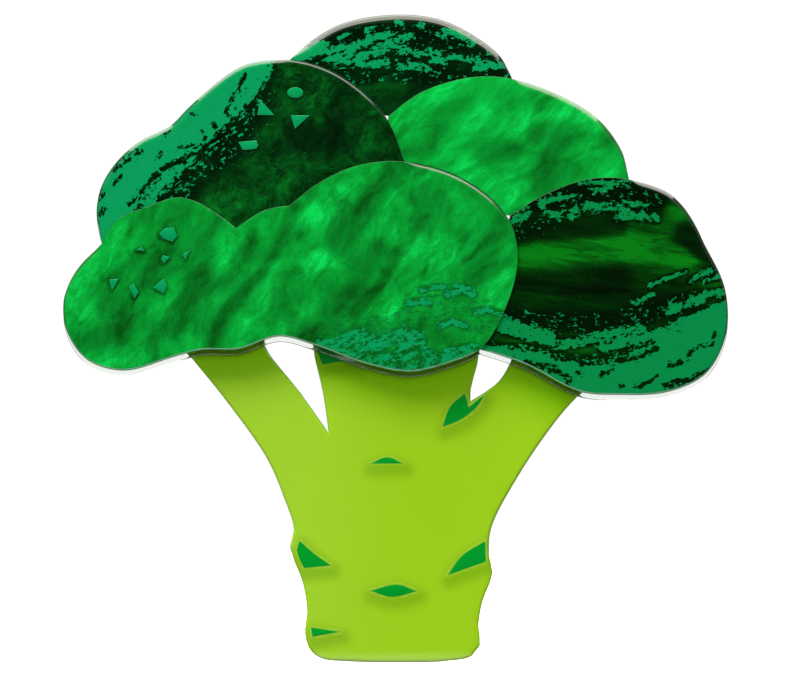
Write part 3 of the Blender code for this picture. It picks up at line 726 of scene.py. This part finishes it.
def paint(name, flows, strokes, swirls):
    """Gives a floret its print cover, its swirls, and coordinates along the nearest flow line."""
    mesh = florets[name].data
    places = places_of(mesh)
    nearest = np.full(len(places), np.inf)
    laid = np.zeros((len(places), 3))
    turned = np.zeros(len(places))
    for number, line in enumerate(flows):
        gap, along, side, heading = distance_to(places, np.reshape(line, (-1, 2)), closed=False)
        closer = gap < nearest
        nearest[closer] = gap[closer]
        turned[closer] = heading[closer]
        apart = np.full(len(gap), number * LINE_APART)
        flow = np.stack([along * STROKE_ALONG, side * gap * STROKE_ACROSS, apart], axis=1)
        laid[closer] = flow[closer]
    cover = painted(places, strokes, BARE, SOFTER)
    store(mesh, "cover", cover)
    store(mesh, "swirl", painted(places, swirls, 0))
    store(mesh, "strokes", laid)
    store(mesh, "heading", turned)
    store(mesh, "fringe", ((cover > FRINGE[0]) & (cover < FRINGE[1])).astype(float))
    share = 100 * float((cover > 0).mean())
    print(f"{name}: {len(strokes)} strokes of print cover {share:.0f} % of its points")


# %% Left floret: a broad band along its outer edge
paint("floret_left", [
    [-27.5, 36, -26.3, 41, -24.5, 44, -21, 46.6, -17.5, 48.6, -14.8, 51, -12.5, 54, -11, 57],
], [
    (-0.9, 0.4, 1.9, [-21, 41, -19, 43.2, -17, 45.4, -14.8, 47.8, -13.2, 50.5, -12.4, 53]),
    (2.2, 0.9, 0.5, [-25.4, 38, -25, 40.5, -24, 42.6, -22.3, 44.4, -20.3, 46, -18, 47.6]),
    (2.2, 1.5, 0.7, [-27, 38, -26.6, 40.5, -25.4, 43.4, -22.8, 45.4, -20.4, 47.4, -17.8, 49.2,
        -15.4, 51.3, -13.2, 54]),
    (1.4, 0.26, 0.3, [-12.3, 53.3, -13.4, 51.5, -14.3, 49.9]),
    (1, 0.24, 0.35, [-18.5, 45.3, -19.6, 44.6, -20.6, 43.6, -21.6, 42.4, -22.4, 41.2]),
    (-0.75, 0.05, 0.26, [-13.5, 53.1, -14.2, 51.6, -15, 50.4, -15.2, 49.5, -14.9, 48.7]),
    (-0.85, 0.07, 0.28, [-17.3, 46.3, -19, 45.4, -20.6, 44.8, -21.8, 43.8, -22.8, 42.5, -23.9, 41.3]),
    (-0.7, 0.05, 0.22, [-19.7, 46.3, -18.1, 46.5, -17.1, 46.8]),
    (-0.6, 0.08, 0.24, [-21.6, 45.4, -21.1, 45.8]),
    (-0.6, 0.05, 0.22, [-17.4, 47.9, -17.2, 47.2]),
    (-0.6, 0.05, 0.22, [-18.4, 49.5, -18.1, 49.3]),
    (-0.5, 0.05, 0.2, [-16.5, 48.5, -16.3, 48.2]),
    (-0.5, 0.05, 0.2, [-20.8, 47.6, -20.4, 47.8]),
    (-0.2, 0.22, 0.3, [-23, 46, -24.2, 45.3, -25.2, 44.5]),
    (-0.6, 0.06, 0.25, [-24.8, 43.8, -25.6, 42.9]),
    (-0.7, 0.1, 0.28, [-26.4, 42.3, -26.6, 41.8]),
    (-0.7, 0.1, 0.28, [-26.3, 40.8, -26.6, 40.4]),
], [
    (0.5, 0.5, 2, [-13.5, 42.5, -15.5, 41.5]),
    (0.7, 0.3, 1.2, [-10.8, 51.8, -9.5, 52.6]),
    (0.35, 0.5, 1.5, [-7, 51.6, -8.2, 49.6]),
    (-0.7, 0.5, 2.2, [-4.2, 51, -5.4, 47, -8.5, 46.6]),
    (-0.6, 0.4, 1.6, [-15.6, 46.4, -14.6, 44.2]),
    (0.35, 0.3, 1.4, [-11.4, 43.6, -9, 44.8]),
])

# %% Top floret: streaks that rise to the right
paint("floret_top", [[-14, 50.6, -8, 53.2, -3, 54.9, 2, 55.6, 7, 55, 12, 53.4]], [
    (-1.15, 1.4, 1, [-8, 54.4, -2, 55.5, 4, 55.4, 9.5, 53.8]),
    (-1, 0.3, 0.8, [-3.9, 52.8, -0.5, 53.1, 3.2, 53, 6.7, 53.2]),
    (1.8, 0.3, 0.3, [-9.4, 54.3, -8.2, 54.9, -6.6, 55.4]),
    (0.8, 0.1, 0.3, [-6.6, 55.1, -4.8, 55.1, -3.2, 55.7, -1.8, 56.3, -0.6, 56.5]),
    (0.8, 0.1, 0.28, [-1.9, 55.3, -0.3, 55.8, 1.2, 56.4]),
    (0.8, 0.12, 0.3, [-6.4, 54.4, -4.4, 54.2, -2.6, 53.9, -0.9, 54]),
    (0.7, 0.06, 0.25, [-5, 54.9, -3, 54.6, -1.2, 55.1]),
    (0.8, 0.1, 0.28, [-0.8, 55.5, 0.8, 55.1, 2, 54.8, 3.6, 54.9]),
    (0.7, 0.08, 0.28, [0.2, 53.7, 1.6, 53.8, 2.7, 53.4]),
    (0.8, 0.1, 0.28, [3.4, 54.1, 4.6, 54.5, 6.4, 54.4, 7.4, 54]),
    (0.9, 0.14, 0.28, [7.2, 53.5, 8.4, 53.8, 9.8, 53.7]),
    (0.9, 0.14, 0.3, [3.9, 56.5, 4.8, 56.9, 5.6, 56.6, 6.9, 55.9]),
    (0.7, 0.06, 0.25, [-2.7, 56.9, -1.8, 57.2]),
    (0.7, 0.06, 0.25, [0, 57.6, 0.5, 57.6]),
    (0.7, 0.06, 0.25, [2, 57.5, 2.4, 57.3]),
    (0.6, 0.06, 0.25, [-5, 56.3, -4.2, 56.6]),
], [
    (0.5, 0.4, 1.5, [3, 54.9, 5, 53.2]),
    (0.5, 0.5, 1.5, [-0.5, 51.2, 1.5, 51.8]),
    (-0.6, 0.4, 1.2, [-2, 50, 2.5, 52.5, 5.5, 52.6]),
    (-0.5, 0.6, 1.2, [-7, 56, 0, 57.2, 4, 57.2]),
])

# %% Right lower floret: a light band above, a heavy one below
paint("floret_right_lower", [
    [7, 37, 10, 39.4, 14, 41.2, 18, 41.9, 22, 41.2, 27, 38.5],
    [4, 31, 9, 29.4, 14, 28, 18.5, 27.6, 23, 29, 27, 31.2, 32, 35],
], [
    (-1.1, 0.9, 1.1, [10.6, 39.4, 14, 41, 18.5, 41.7, 22.5, 41.2]),
    (-1, 0.3, 0.9, [9.6, 31, 14.6, 30.6, 19.1, 30.6, 23, 31.6, 27, 32.9]),
    (0.8, 0.1, 0.3, [10.2, 39.6, 11.8, 40.4]),
    (0.8, 0.1, 0.3, [13, 41.3, 14.2, 41.9, 15.8, 42]),
    (0.7, 0.1, 0.28, [13.9, 40.4, 15.7, 40.2]),
    (0.8, 0.09, 0.3, [16, 40.8, 17.6, 41.1, 19.3, 41.1, 20.8, 40.7]),
    (0.9, 0.12, 0.28, [19.8, 40, 21.5, 40.3, 23.4, 39.9]),
    (0.7, 0.08, 0.28, [16.4, 43.2, 18.4, 43.2, 20.9, 43.2]),
    (0.7, 0.05, 0.25, [20.4, 41.4, 22.4, 41.2]),
    (0.6, 0.05, 0.25, [17.8, 42.6, 19.2, 42.6]),
    (0.7, 0.05, 0.25, [21.3, 32.4, 22.2, 32.8, 23.1, 33.2]),
    (0.7, 0.05, 0.25, [22.8, 33.9, 24.2, 34.6, 26, 35.2]),
    (0.8, 0.08, 0.3, [26.4, 34.4, 27.8, 35.2, 29.2, 35.6]),
    (0.7, 0.06, 0.25, [27.7, 34.4, 29.6, 34.9]),
    (0.8, 0.16, 0.35, [24.4, 31.6, 26.6, 32.5, 28.2, 33.2, 29.7, 33.5]),
    (1.6, 0.35, 0.4, [8.2, 31, 10.9, 29.9, 13.7, 29.3]),
    (0.8, 0.16, 0.4, [14.3, 28.6, 16.1, 28.8, 19.1, 29.6, 22.1, 30]),
    (1.2, 0.2, 0.4, [18.6, 28.4, 21, 28.9, 23.6, 29.6, 26.6, 30.9, 29.5, 32.2]),
    (2, 0.9, 0.5, [11.6, 27.3, 14.6, 26.6, 17.6, 25.9, 20.6, 26.4, 23.6, 27.7, 26.6, 29.2, 29.3, 31]),
    (1.6, 0.25, 0.4, [7.4, 28.8, 9.5, 28.1, 11.6, 27.5]),
    (2.2, 0.9, 0.6, [17, 25, 22.1, 25, 26, 26.6, 28.6, 28.8]),
    (-0.9, 0.06, 0.28, [8, 28.8, 10.9, 28.5, 12.9, 28.2, 14.4, 27.7]),
    (-1.1, 0.14, 0.35, [14.4, 27.6, 16.7, 27.4, 19, 27.7, 20.9, 28.2]),
    (-0.8, 0.07, 0.3, [16.8, 26.9, 19.3, 27.2, 22.1, 27.6, 23.4, 28.3]),
    (-0.9, 0.08, 0.28, [12.9, 26.8, 14.4, 26.6]),
    (-0.8, 0.07, 0.25, [18.3, 25.9, 19, 26.1, 19.5, 26.5]),
    (-0.7, 0.06, 0.25, [16.2, 26.1, 16.7, 26]),
    (-0.9, 0.06, 0.25, [24.5, 26.8, 25.6, 27.1, 26.4, 27.7]),
    (-0.8, 0.06, 0.25, [26.3, 27.9, 27.2, 28.6, 28.3, 28.6, 28.6, 29.6]),
    (-0.9, 0.06, 0.22, [20, 25, 20.4, 24.9]),
    (-0.9, 0.06, 0.25, [21.5, 24.8, 22.4, 25.1, 23.4, 25.8]),
    (-0.9, 0.09, 0.28, [24, 24.9, 25.4, 25.5, 26.6, 25.5, 27.3, 26.1]),
    (-0.8, 0.08, 0.3, [11.6, 27, 14.1, 26.3, 15.7, 25.5]),
], [
    (-0.8, 0.8, 2.2, [10.5, 32.5, 15, 32, 20, 31.5, 25, 32.5]),
    (-0.8, 0.6, 1.4, [10.5, 33.8, 16, 34, 20, 34.4]),
    (0.75, 0.3, 1.4, [11.5, 36.7, 17, 37.3, 20.5, 37.6]),
    (1, 0.4, 1.4, [21, 37.4, 23.5, 37.2, 26, 36.4]),
    (0.8, 0.2, 0.9, [23.6, 41.2, 25.4, 40.4]),
    (-0.9, 0.5, 1, [26, 38.6, 28.2, 36.8]),
    (-0.8, 0.3, 0.9, [11, 38.6, 15.5, 38.9, 20, 39.2]),
    (-0.9, 0.6, 1, [12, 41.3, 18, 43, 23.5, 42]),
])

# %% Front floret: diagonal swirls, a thin scatter of print along the bottom, and painted chip shadows
# Painted shadows of the front chips: each chip's outline, moved down and to the left, is painted dark.
CHIP_SHADOW_OFFSET = np.array([-0.08, -0.12 - FOOT])
chip_shadows = []
for node in (n for n in cad if n.startswith("chip_front")):
    loop = np.array(section(node)[0])
    chip_shadows.append((-1.3, 0.1, 0.22, np.vstack([loop, loop[:1]]) + CHIP_SHADOW_OFFSET))
paint("floret_front", [[-14, 25, -7.5, 28, -2.5, 29.8, 3, 31.3, 8, 31.6, 14, 31]], [
    (-0.85, 0.5, 1, [-5.6, 29.4, -2.3, 30, 0.2, 30.6, 1.7, 30.9]),
    (-1.1, 0.9, 1.2, [2, 32, 5, 32, 8, 31]),
    (0.45, 0.14, 0.35, [-6.9, 28.9, -5.6, 28.5, -4.2, 28]),
    (0.15, 0.3, 0.5, [-5.2, 28.4, -3.4, 27.3, -1.6, 26.6, 0.5, 26.3, 3.2, 26.7, 5.6, 27.8, 6.9, 28.3]),
    (0.25, 0.22, 0.5, [-4.6, 29.2, -2.9, 29.4, -1.9, 28.9, -3.3, 28.4]),
    (0.3, 0.3, 0.5, [-1.9, 28.3, -0.6, 29.1, 0.8, 29.7, 2.1, 29, 0.6, 28.6]),
    (0.0, 0.35, 0.5, [-1.2, 27.4, 0.5, 27.7, 2.4, 27.9, 3.6, 27.5]),
    (0.3, 0.16, 0.4, [4.6, 28, 5.5, 28.2, 6.6, 28.3]),
    (0.6, 0.08, 0.35, [4, 30.4, 5, 30.7, 6.2, 30.3]),
    (0.5, 0.06, 0.35, [7.1, 31.6, 8.4, 31.7, 9.6, 31.4]),
    (0.5, 0.06, 0.3, [0.9, 32.4, 2.2, 32.6, 3, 32.3]),
    (0.5, 0.06, 0.3, [2.2, 33.6, 3.6, 33.9, 4.3, 33.8]),
    (0.6, 0.07, 0.35, [4.5, 33.2, 5.8, 33.5, 7, 33.2]),
    (0.4, 0.06, 0.3, [5.3, 33.9, 6.9, 33.7]),
], [
    (0.5, 0.6, 1.8, [-29, 31.5, -28, 34, -25.5, 37]),
    (0.6, 0.4, 1.6, [-26.5, 27.6, -23, 26.8]),
    (0.5, 0.6, 1.8, [-13.2, 38.8, -14.8, 36]),
    (0.5, 0.4, 1.5, [-21.4, 31.9, -19.8, 30.4]),
    (0.5, 0.5, 1.6, [-11.2, 33.2, -12.8, 30.8, -10.6, 29.6]),
    (0.8, 0.3, 1.4, [-3.2, 43, -6, 41.4, -8.4, 39.8]),
    (0.7, 0.3, 1.3, [-7.4, 36.4, -5.9, 36]),
    (0.5, 0.4, 1.4, [0.4, 41.3, -1.4, 39, 1.4, 38]),
    (0.6, 0.4, 1.4, [4.6, 37.6, 3.6, 35.6]),
    (0.6, 0.3, 1.3, [-0.4, 33.7, -1, 31.6]),
    (0.7, 0.3, 1.2, [9.6, 34.6, 8.6, 32.4]),
    (-1, 0.15, 1, [-9.2, 41, -11.3, 36.9, -13.1, 34.4, -15.4, 31.7, -16.5, 28.8]),
    (-0.6, 0.5, 1.4, [-12.5, 37.4, -14.6, 34.2]),
    (-0.9, 0.4, 1.3, [-0.2, 44.4, -2, 42.2, -3.5, 40.1, -5.3, 37.9]),
    (-1.1, 0.4, 1.2, [-1.8, 37.2, -3.5, 34.4, -5.8, 31.9, -8, 29]),
    (-0.8, 0.15, 0.8, [0, 37, -1.7, 33.8, -3.8, 31.6]),
    (-0.8, 0.4, 1.3, [8.9, 38, 6.9, 35.6, 5.7, 33.6]),
    (-0.5, 0.6, 1.5, [2.4, 42, 4.2, 41.4, 3, 39.8]),
    (-0.5, 0.3, 1.2, [6, 43, 8.6, 41.2, 10.4, 39.1]),
    (-0.6, 0.5, 1.5, [-16.6, 40, -17.8, 38]),
    (-0.8, 0.6, 1.7, [-20.4, 36.4, -23, 34.9, -26, 33.4]),
    (-0.7, 0.4, 1.5, [-17.4, 34.6, -19.2, 31.9, -20.1, 30.2]),
    (-0.6, 0.4, 1.4, [-24.8, 30.6, -27, 28.9]),
    (-0.5, 0.5, 1.5, [-19, 41.2, -21.8, 39.8]),
    (-0.6, 0.4, 1.2, [3, 29.8, 7, 29.2, 9.4, 30]),
] + chip_shadows)

# %% Right upper floret: bare pearl
paint("floret_right_upper", [[0, 45, 20, 52]], [], [
    (0.5, 0.6, 1.6, [0.6, 48.6, 3, 50.6, 5.4, 52]),
    (-0.7, 0.3, 1.3, [1.6, 45.8, 4, 49.2, 7.6, 51.6]),
    (0.5, 0.6, 1.6, [6, 44.6, 9.8, 42.8, 11.6, 42.2]),
    (-0.9, 0.5, 1.4, [8.2, 45.8, 10.2, 46.2]),
    (0.7, 0.5, 1.5, [11, 48.2, 14.6, 48.8, 17.4, 48.4]),
    (-0.7, 0.4, 1.4, [13, 47.6, 15.6, 47.8]),
    (-0.9, 0.5, 1.5, [13.6, 45, 13.2, 42.6]),
    (0.5, 0.4, 1.5, [17, 46, 19, 44.6]),
    (-0.4, 0.5, 1.5, [8, 51.6, 9.4, 50.6]),
])

# %% [markdown]
# ## Stray flecks
# A dry brush also leaves loose flecks beside its strokes. They follow a rule, so Geometry Nodes
# scatters them: points on the plates where the stored fringe is 1, a small chip on each point turned
# along the brush's way, and a random size.

# %% A fleck, and the node tree that scatters it
FLECK_LONG, FLECK_WIDE, FLECK_THICK = 0.30, 0.17, 0.016
FLECK_SHARP = 40
corners_of_fleck = [(-0.5, -0.1), (-0.2, -0.5), (0.35, -0.35), (0.5, 0.15), (0.05, 0.5), (-0.35, 0.3)]
count = len(corners_of_fleck)
points = [(x * FLECK_LONG, y, z * FLECK_WIDE)
          for y in (-FLECK_THICK / 2, FLECK_THICK / 2) for x, z in corners_of_fleck]
sides = [(i, (i + 1) % count, count + (i + 1) % count, count + i) for i in range(count)]
ends = [tuple(range(count)), tuple(range(2 * count - 1, count - 1, -1))]
fleck = finished("fleck", points, [*ends, *sides], sharp=FLECK_SHARP)
# The node tree copies it; it isn't a piece of the scene itself.
bpy.context.collection.objects.unlink(fleck)

# %% Clear, enamel and steel
def drift_of(colour, drift):
    """Ramp stops for a colour that drifts a little darker and brighter."""
    darker, brighter = (tuple(min(1, c * gain) for c in colour) for gain in (1 - drift, 1 + drift))
    return [(0.3, darker), (0.7, brighter)]


def drifting(name, colour, rough, drift, **sockets):
    """A finish whose colour and roughness drift a little, with a faint ripple in its polish."""
    material, tree, shader = new_material(name, **sockets)
    cloud = noise(tree, in_mm(tree), 0.08, 3.0, 0.5)
    tree.links.new(ramp(tree, cloud, drift_of(colour, drift)), shader.inputs["Base Color"])
    worn = mapped(tree, cloud, 0.3, 0.7, rough * 0.85, rough * 1.15)
    tree.links.new(worn, shader.inputs["Roughness"])
    rippled(tree, shader, 0.35, 0.25)
    return material


clear = drifting("clear_acrylic", (0.87, 0.90, 0.86), 0.03, 0.01, Transmission_Weight=1.0, IOR=1.49)
green_fill = drifting("dark_green_fill", (0.0, 0.33, 0.024), 0.3, 0.08, **GLOSS)
emerald = drifting("emerald_enamel", EMERALD, 0.35, 0.10, **GLOSS)
steel = drifting("plated_steel", (0.74, 0.73, 0.71), 0.16, 0.08, Metallic=1.0)
wire_steel = drifting("drawn_wire", (0.70, 0.70, 0.70), 0.24, 0.05, Metallic=1.0)

base.data.materials.append(clear)
for node, piece in steel_pieces.items():
    piece.data.materials.append(wire_steel if node == "needle" else steel)
for piece in marks.values():
    piece.data.materials.append(green_fill)
for piece in chips:
    piece.data.materials.append(emerald)

# %% Lime acrylic
# Besides the lime itself: a pale colour for the halo and painted light, and a dark one for painted
# shadow.
LIME, LIME_SHADOW, LIME_HALO_AND_LIGHT = (0.338, 0.625, 0.0125), (0.10, 0.27, 0.001), (0.43, 0.70, 0.085)
# The colour of painted shade under the florets.
LIME_IN_SHADE = (0.30, 0.74, 0.002)
polish = {"Roughness": 0.3, "Specular_IOR_Level": 0.0, "Coat_Weight": 0.7, "Coat_Roughness": 0.04}
material, tree, shader = new_material("lime_acrylic", **polish)
toned = ramp(tree, noise(tree, in_mm(tree), 0.06, 3.0, 0.5), drift_of(LIME, 0.04))
# Numbers stored on the mesh paint the halo and painted light, painted shade and painted shadow on the
# lime.
for name, colour in (("pale", LIME_HALO_AND_LIGHT), ("sheltered", LIME_IN_SHADE), ("deep", LIME_SHADOW)):
    toned = mixed(tree, attribute(tree, name), toned, colour)
tree.links.new(toned, shader.inputs["Base Color"])
rippled(tree, shader, 0.3, 0.2)
stem.data.materials.append(material)

# %% Painted shade and light on the stem, round the inlaid marks and under the florets
# In mm: a pale halo round each mark and its painted soft shadow to the lower right, a painted dark
# line of shadow close under the florets and the richer lime of painted shade that fades out below it,
# a painted highlight along the bevel at the foot, and the left side painted paler, as lit from the left.
HALO, SHADOW_REACH, SHADOW_DROP = 0.08, 1.3, (0.2, -0.5)
SHADE_NEAR, SHADE_FAR = 0.30, 0.55
SHADE_TINT_NEAR, SHADE_TINT_FAR = 0.4, 4.5
BAND_TOP, BAND_SOFT = 0.75, 0.12
SIDE_FAR, SIDE_NEAR = -12, 2
HALO_PALE, SHADOW_DEEP, SHADE_DEEP, FOOT_HIGHLIGHT, LEFT_SIDE_LIGHT = 0.5, 0.42, 0.5, 0.75, 0.22
places = places_of(stem.data)
deep, pale = np.zeros(len(places)), np.zeros(len(places))
for loop in mark_loops.values():
    outline = loop - np.array([0, FOOT])
    gap = distance_to(places, outline)[0]
    pale = np.maximum(pale, HALO_PALE * (1 - smoothstep(HALO * 0.5, HALO * 2.5, gap)))
    dropped = places - np.array(SHADOW_DROP)
    under = distance_to(dropped, outline)[0]
    under[inside(dropped, outline)] = 0
    deep = np.maximum(deep, SHADOW_DEEP * (1 - smoothstep(0, SHADOW_REACH, under)))
deep *= 1 - pale
covers = [loop - np.array([0, FOOT]) for loop, _ in floret_loops.values()]
overhang = np.min([distance_to(places, cover)[0] for cover in covers], axis=0)
for cover in covers:
    overhang[inside(places, cover)] = 0
# Painted shade: the lime turns to its shade colour close under the florets, fading out further down.
store(stem.data, "sheltered", 1 - smoothstep(SHADE_TINT_NEAR, SHADE_TINT_FAR, overhang))
# Painted shadow: a dark line close under the florets.
deep = np.maximum(deep, SHADE_DEEP * (1 - smoothstep(SHADE_NEAR, SHADE_FAR, overhang)))
# Painted highlight along the foot, and painted light on the left side.
pale = np.maximum(pale, FOOT_HIGHLIGHT * (1 - smoothstep(BAND_TOP, BAND_TOP + BAND_SOFT, places[:, 1])))
pale = np.maximum(pale, LEFT_SIDE_LIGHT * smoothstep(SIDE_NEAR, SIDE_FAR, places[:, 0]))
store(stem.data, "deep", deep)
store(stem.data, "pale", pale)

# %% Scatter the flecks
FACES_FRONT = -0.999


def fleck_tree():
    tree = bpy.data.node_groups.new("Stray flecks", "GeometryNodeTree")
    sockets = {"Plate": "Geometry", "Fleck": "Object", "Flecks per square metre": "Float",
               "Smallest": "Float", "Largest": "Float", "Seed": "Int", "Finish": "Material"}
    for label, kind in sockets.items():
        tree.interface.new_socket(label, in_out="INPUT", socket_type="NodeSocket" + kind)
    tree.interface.new_socket("Flecks", in_out="OUTPUT", socket_type="NodeSocketGeometry")

    def node(kind, wired=(), outlet=0, **settings):
        return new_node(tree, kind, wired, **settings).outputs[outlet]

    def stored(name):
        return node("GeometryNodeInputNamedAttribute", [("Name", name)], data_type="FLOAT")

    def product(a, b):
        return node("ShaderNodeMath", [(0, a), (1, b)], operation="MULTIPLY")

    given = new_node(tree, "NodeGroupInput").outputs
    depth = node("ShaderNodeSeparateXYZ", [(0, node("GeometryNodeInputNormal"))], outlet=1)
    front = node("ShaderNodeMath", [(0, depth), (1, FACES_FRONT)], operation="LESS_THAN")
    density = product(product(stored("fringe"), front), given[2])
    wired = [("Mesh", given[0]), ("Density", density), ("Seed", given[5])]
    points = node("GeometryNodeDistributePointsOnFaces", wired)
    rotation = node("ShaderNodeCombineXYZ", [("Y", product(stored("heading"), -1.0))])
    wired = [(2, given[3]), (3, given[4]), ("Seed", given[5])]
    size = node("FunctionNodeRandomValue", wired, outlet=1, data_type="FLOAT")
    shape = node("GeometryNodeObjectInfo", [("Object", given[1])], outlet="Geometry")
    wired = [("Points", points), ("Instance", shape), ("Rotation", rotation), ("Scale", size)]
    real = node("GeometryNodeRealizeInstances", [(0, node("GeometryNodeInstanceOnPoints", wired))])
    finish = node("GeometryNodeSetMaterial", [("Geometry", real), ("Material", given[6])])
    tree.links.new(finish, tree.nodes.new("NodeGroupOutput").inputs[0])
    return tree


FLECKS_PER_MM2 = {"floret_left": 1.6, "floret_top": 1.3, "floret_right_lower": 1.1, "floret_front": 0.7}
SMALLEST, LARGEST, FIRST_SEED = 0.45, 1.15, 11
flecks = fleck_tree()
sockets = {item.name: item.identifier for item in flecks.interface.items_tree if item.in_out == "INPUT"}
for number, (name, density) in enumerate(FLECKS_PER_MM2.items()):
    piece = bpy.data.objects.new("flecks_on_" + name, florets[name].data)
    bpy.context.collection.objects.link(piece)
    modifier = piece.modifiers.new("Stray flecks", "NODES")
    modifier.node_group = flecks
    given = {"Fleck": fleck, "Flecks per square metre": density / MM**2, "Smallest": SMALLEST,
             "Largest": LARGEST, "Seed": FIRST_SEED + number, "Finish": emerald}
    for label, value in given.items():
        modifier[sockets[label]] = value
    made = bpy.data.meshes.new_from_object(piece.evaluated_get(bpy.context.evaluated_depsgraph_get()))
    piece.modifiers.remove(modifier)
    piece.data = made
    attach(piece, "brooch")
    print(piece.name, len(made.vertices) // (2 * count), "flecks")

# %% [markdown]
# ## Floor, light and camera
# A wide pale floor, a white surround and large soft lights in front, above and below, as a product
# table has. The surround is dim on the camera's own side, so that the polished faces keep their
# depth, and two of the lights only make highlights.

# %% Floor
low, high = cad_box
FLOOR_RADIUS, FLOOR_SIDES = 0.5, 96
around = [2 * math.pi * i / FLOOR_SIDES for i in range(FLOOR_SIDES)]
ring = [(FLOOR_RADIUS * math.cos(a) / MM, FLOOR_RADIUS * math.sin(a) / MM, low.z / MM) for a in around]
floor = finished("floor", ring, [tuple(range(FLOOR_SIDES))])
lit = {"Emission_Color": (1, 1, 1, 1), "Emission_Strength": 0.8}
matt = {"Base_Color": (0.92, 0.92, 0.92, 1), "Roughness": 0.6, "Specular_IOR_Level": 0.0}
floor.data.materials.append(new_material("pale_floor", **matt, **lit)[0])
# It neither tints the plates nor lays a grey haze over the florets behind the clear base.
floor.visible_diffuse = floor.visible_glossy = floor.visible_transmission = False

# %% Surround
# Brightness above, below, on the camera's side, and where it is seen directly or through the base.
ABOVE, BELOW, FLAGGED, BACKDROP = 0.60, 0.22, 0.02, 1.05
SEEN_THROUGH = -0.9
IS_CAMERA, IS_TRANSMISSION, GLOSSY_DEPTH = 0, 6, 10
world = bpy.data.worlds.new("Surround")
bpy.context.scene.world = world
world.use_nodes = True
tree = world.node_tree
tree.nodes.clear()
heading = add(tree, "TexCoord")
facing = towards(tree, heading, FRONT)
sky = mapped(tree, towards(tree, heading, (0, 0, 1)), -0.2, 0.6, BELOW, ABOVE)
flag = mapped(tree, facing, 0.70, 0.95, sky, FLAGGED)
behind = maths(tree, "LESS_THAN", facing, SEEN_THROUGH)
through = times(tree, behind, add(tree, "LightPath", outlet=IS_TRANSMISSION))
unreflected = maths(tree, "LESS_THAN", add(tree, "LightPath", outlet=GLOSSY_DEPTH), 0.5)
through = times(tree, through, unreflected)
seen = maths(tree, "MAXIMUM", add(tree, "LightPath", outlet=IS_CAMERA), through)
strength = mapped(tree, seen, 0.0, 1.0, flag, BACKDROP)
shine = add(tree, "Background", [(0, (1, 1, 1, 1)), (1, strength)])
tree.links.new(shine, tree.nodes.new("ShaderNodeOutputWorld").inputs[0])

# %% Lights
WARM = (1, 0.95, 0.86)


def soft_light(name, place, size, radiance, target, tint=(1, 1, 1), mirrored=True, lighting=True):
    """A rectangular softbox of size (across, up) in metres, facing a target.

    mirrored says whether polished faces show it, and lighting whether it lights plain ones.
    """
    light = bpy.data.lights.new(name, "AREA")
    light.shape = "RECTANGLE"
    light.size, light.size_y = size
    light.energy = radiance * math.pi * size[0] * size[1]
    light.color = tint
    lamp = bpy.data.objects.new(name, light)
    bpy.context.collection.objects.link(lamp)
    lamp.location = place
    lamp.visible_glossy = mirrored
    lamp.visible_diffuse = lighting
    lamp.rotation_euler = (Vector(target) - Vector(place)).to_track_quat("-Z", "Y").to_euler()
    return lamp


middle = (low + high) / 2
centre = middle.z
soft_light("key_front_above", (-0.16, -0.36, centre + 0.36), (0.30, 0.26), 9.6, middle, mirrored=False)
soft_light("overhead", (0, 0.16, centre + 0.40), (0.70, 0.50), 6.0, (0, 0.16, centre), WARM)
soft_light("overhead_front", (0, -0.18, centre + 0.41), (0.70, 0.18), 7.5, middle, WARM, lighting=False)
soft_light("bounce", (0, -0.22, centre - 0.36), (0.50, 0.20), 3.5, middle, lighting=False)
soft_light("fill_front", (0.02, -0.45, centre + 0.02), (0.25, 0.25), 3.4, middle, mirrored=False)

# %% Camera
LENS, SENSOR = 500.0, 36.0
VIEW_WIDTH, ASIDE, RAISE = 71.25 * MM, 0.08 * MM, 0.13 * MM
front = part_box("floret_front")[0].y
lens = bpy.data.cameras.new("camera")
lens.lens = LENS
lens.sensor_width = SENSOR
lens.clip_end = 20
camera = bpy.data.objects.new("camera", lens)
bpy.context.collection.objects.link(camera)
camera.location = (middle.x + ASIDE, front - VIEW_WIDTH * LENS / SENSOR, middle.z + RAISE)
camera.rotation_euler = (math.radians(90), 0, 0)
bpy.context.scene.camera = camera
bpy.context.scene.view_settings.view_transform = "Standard"
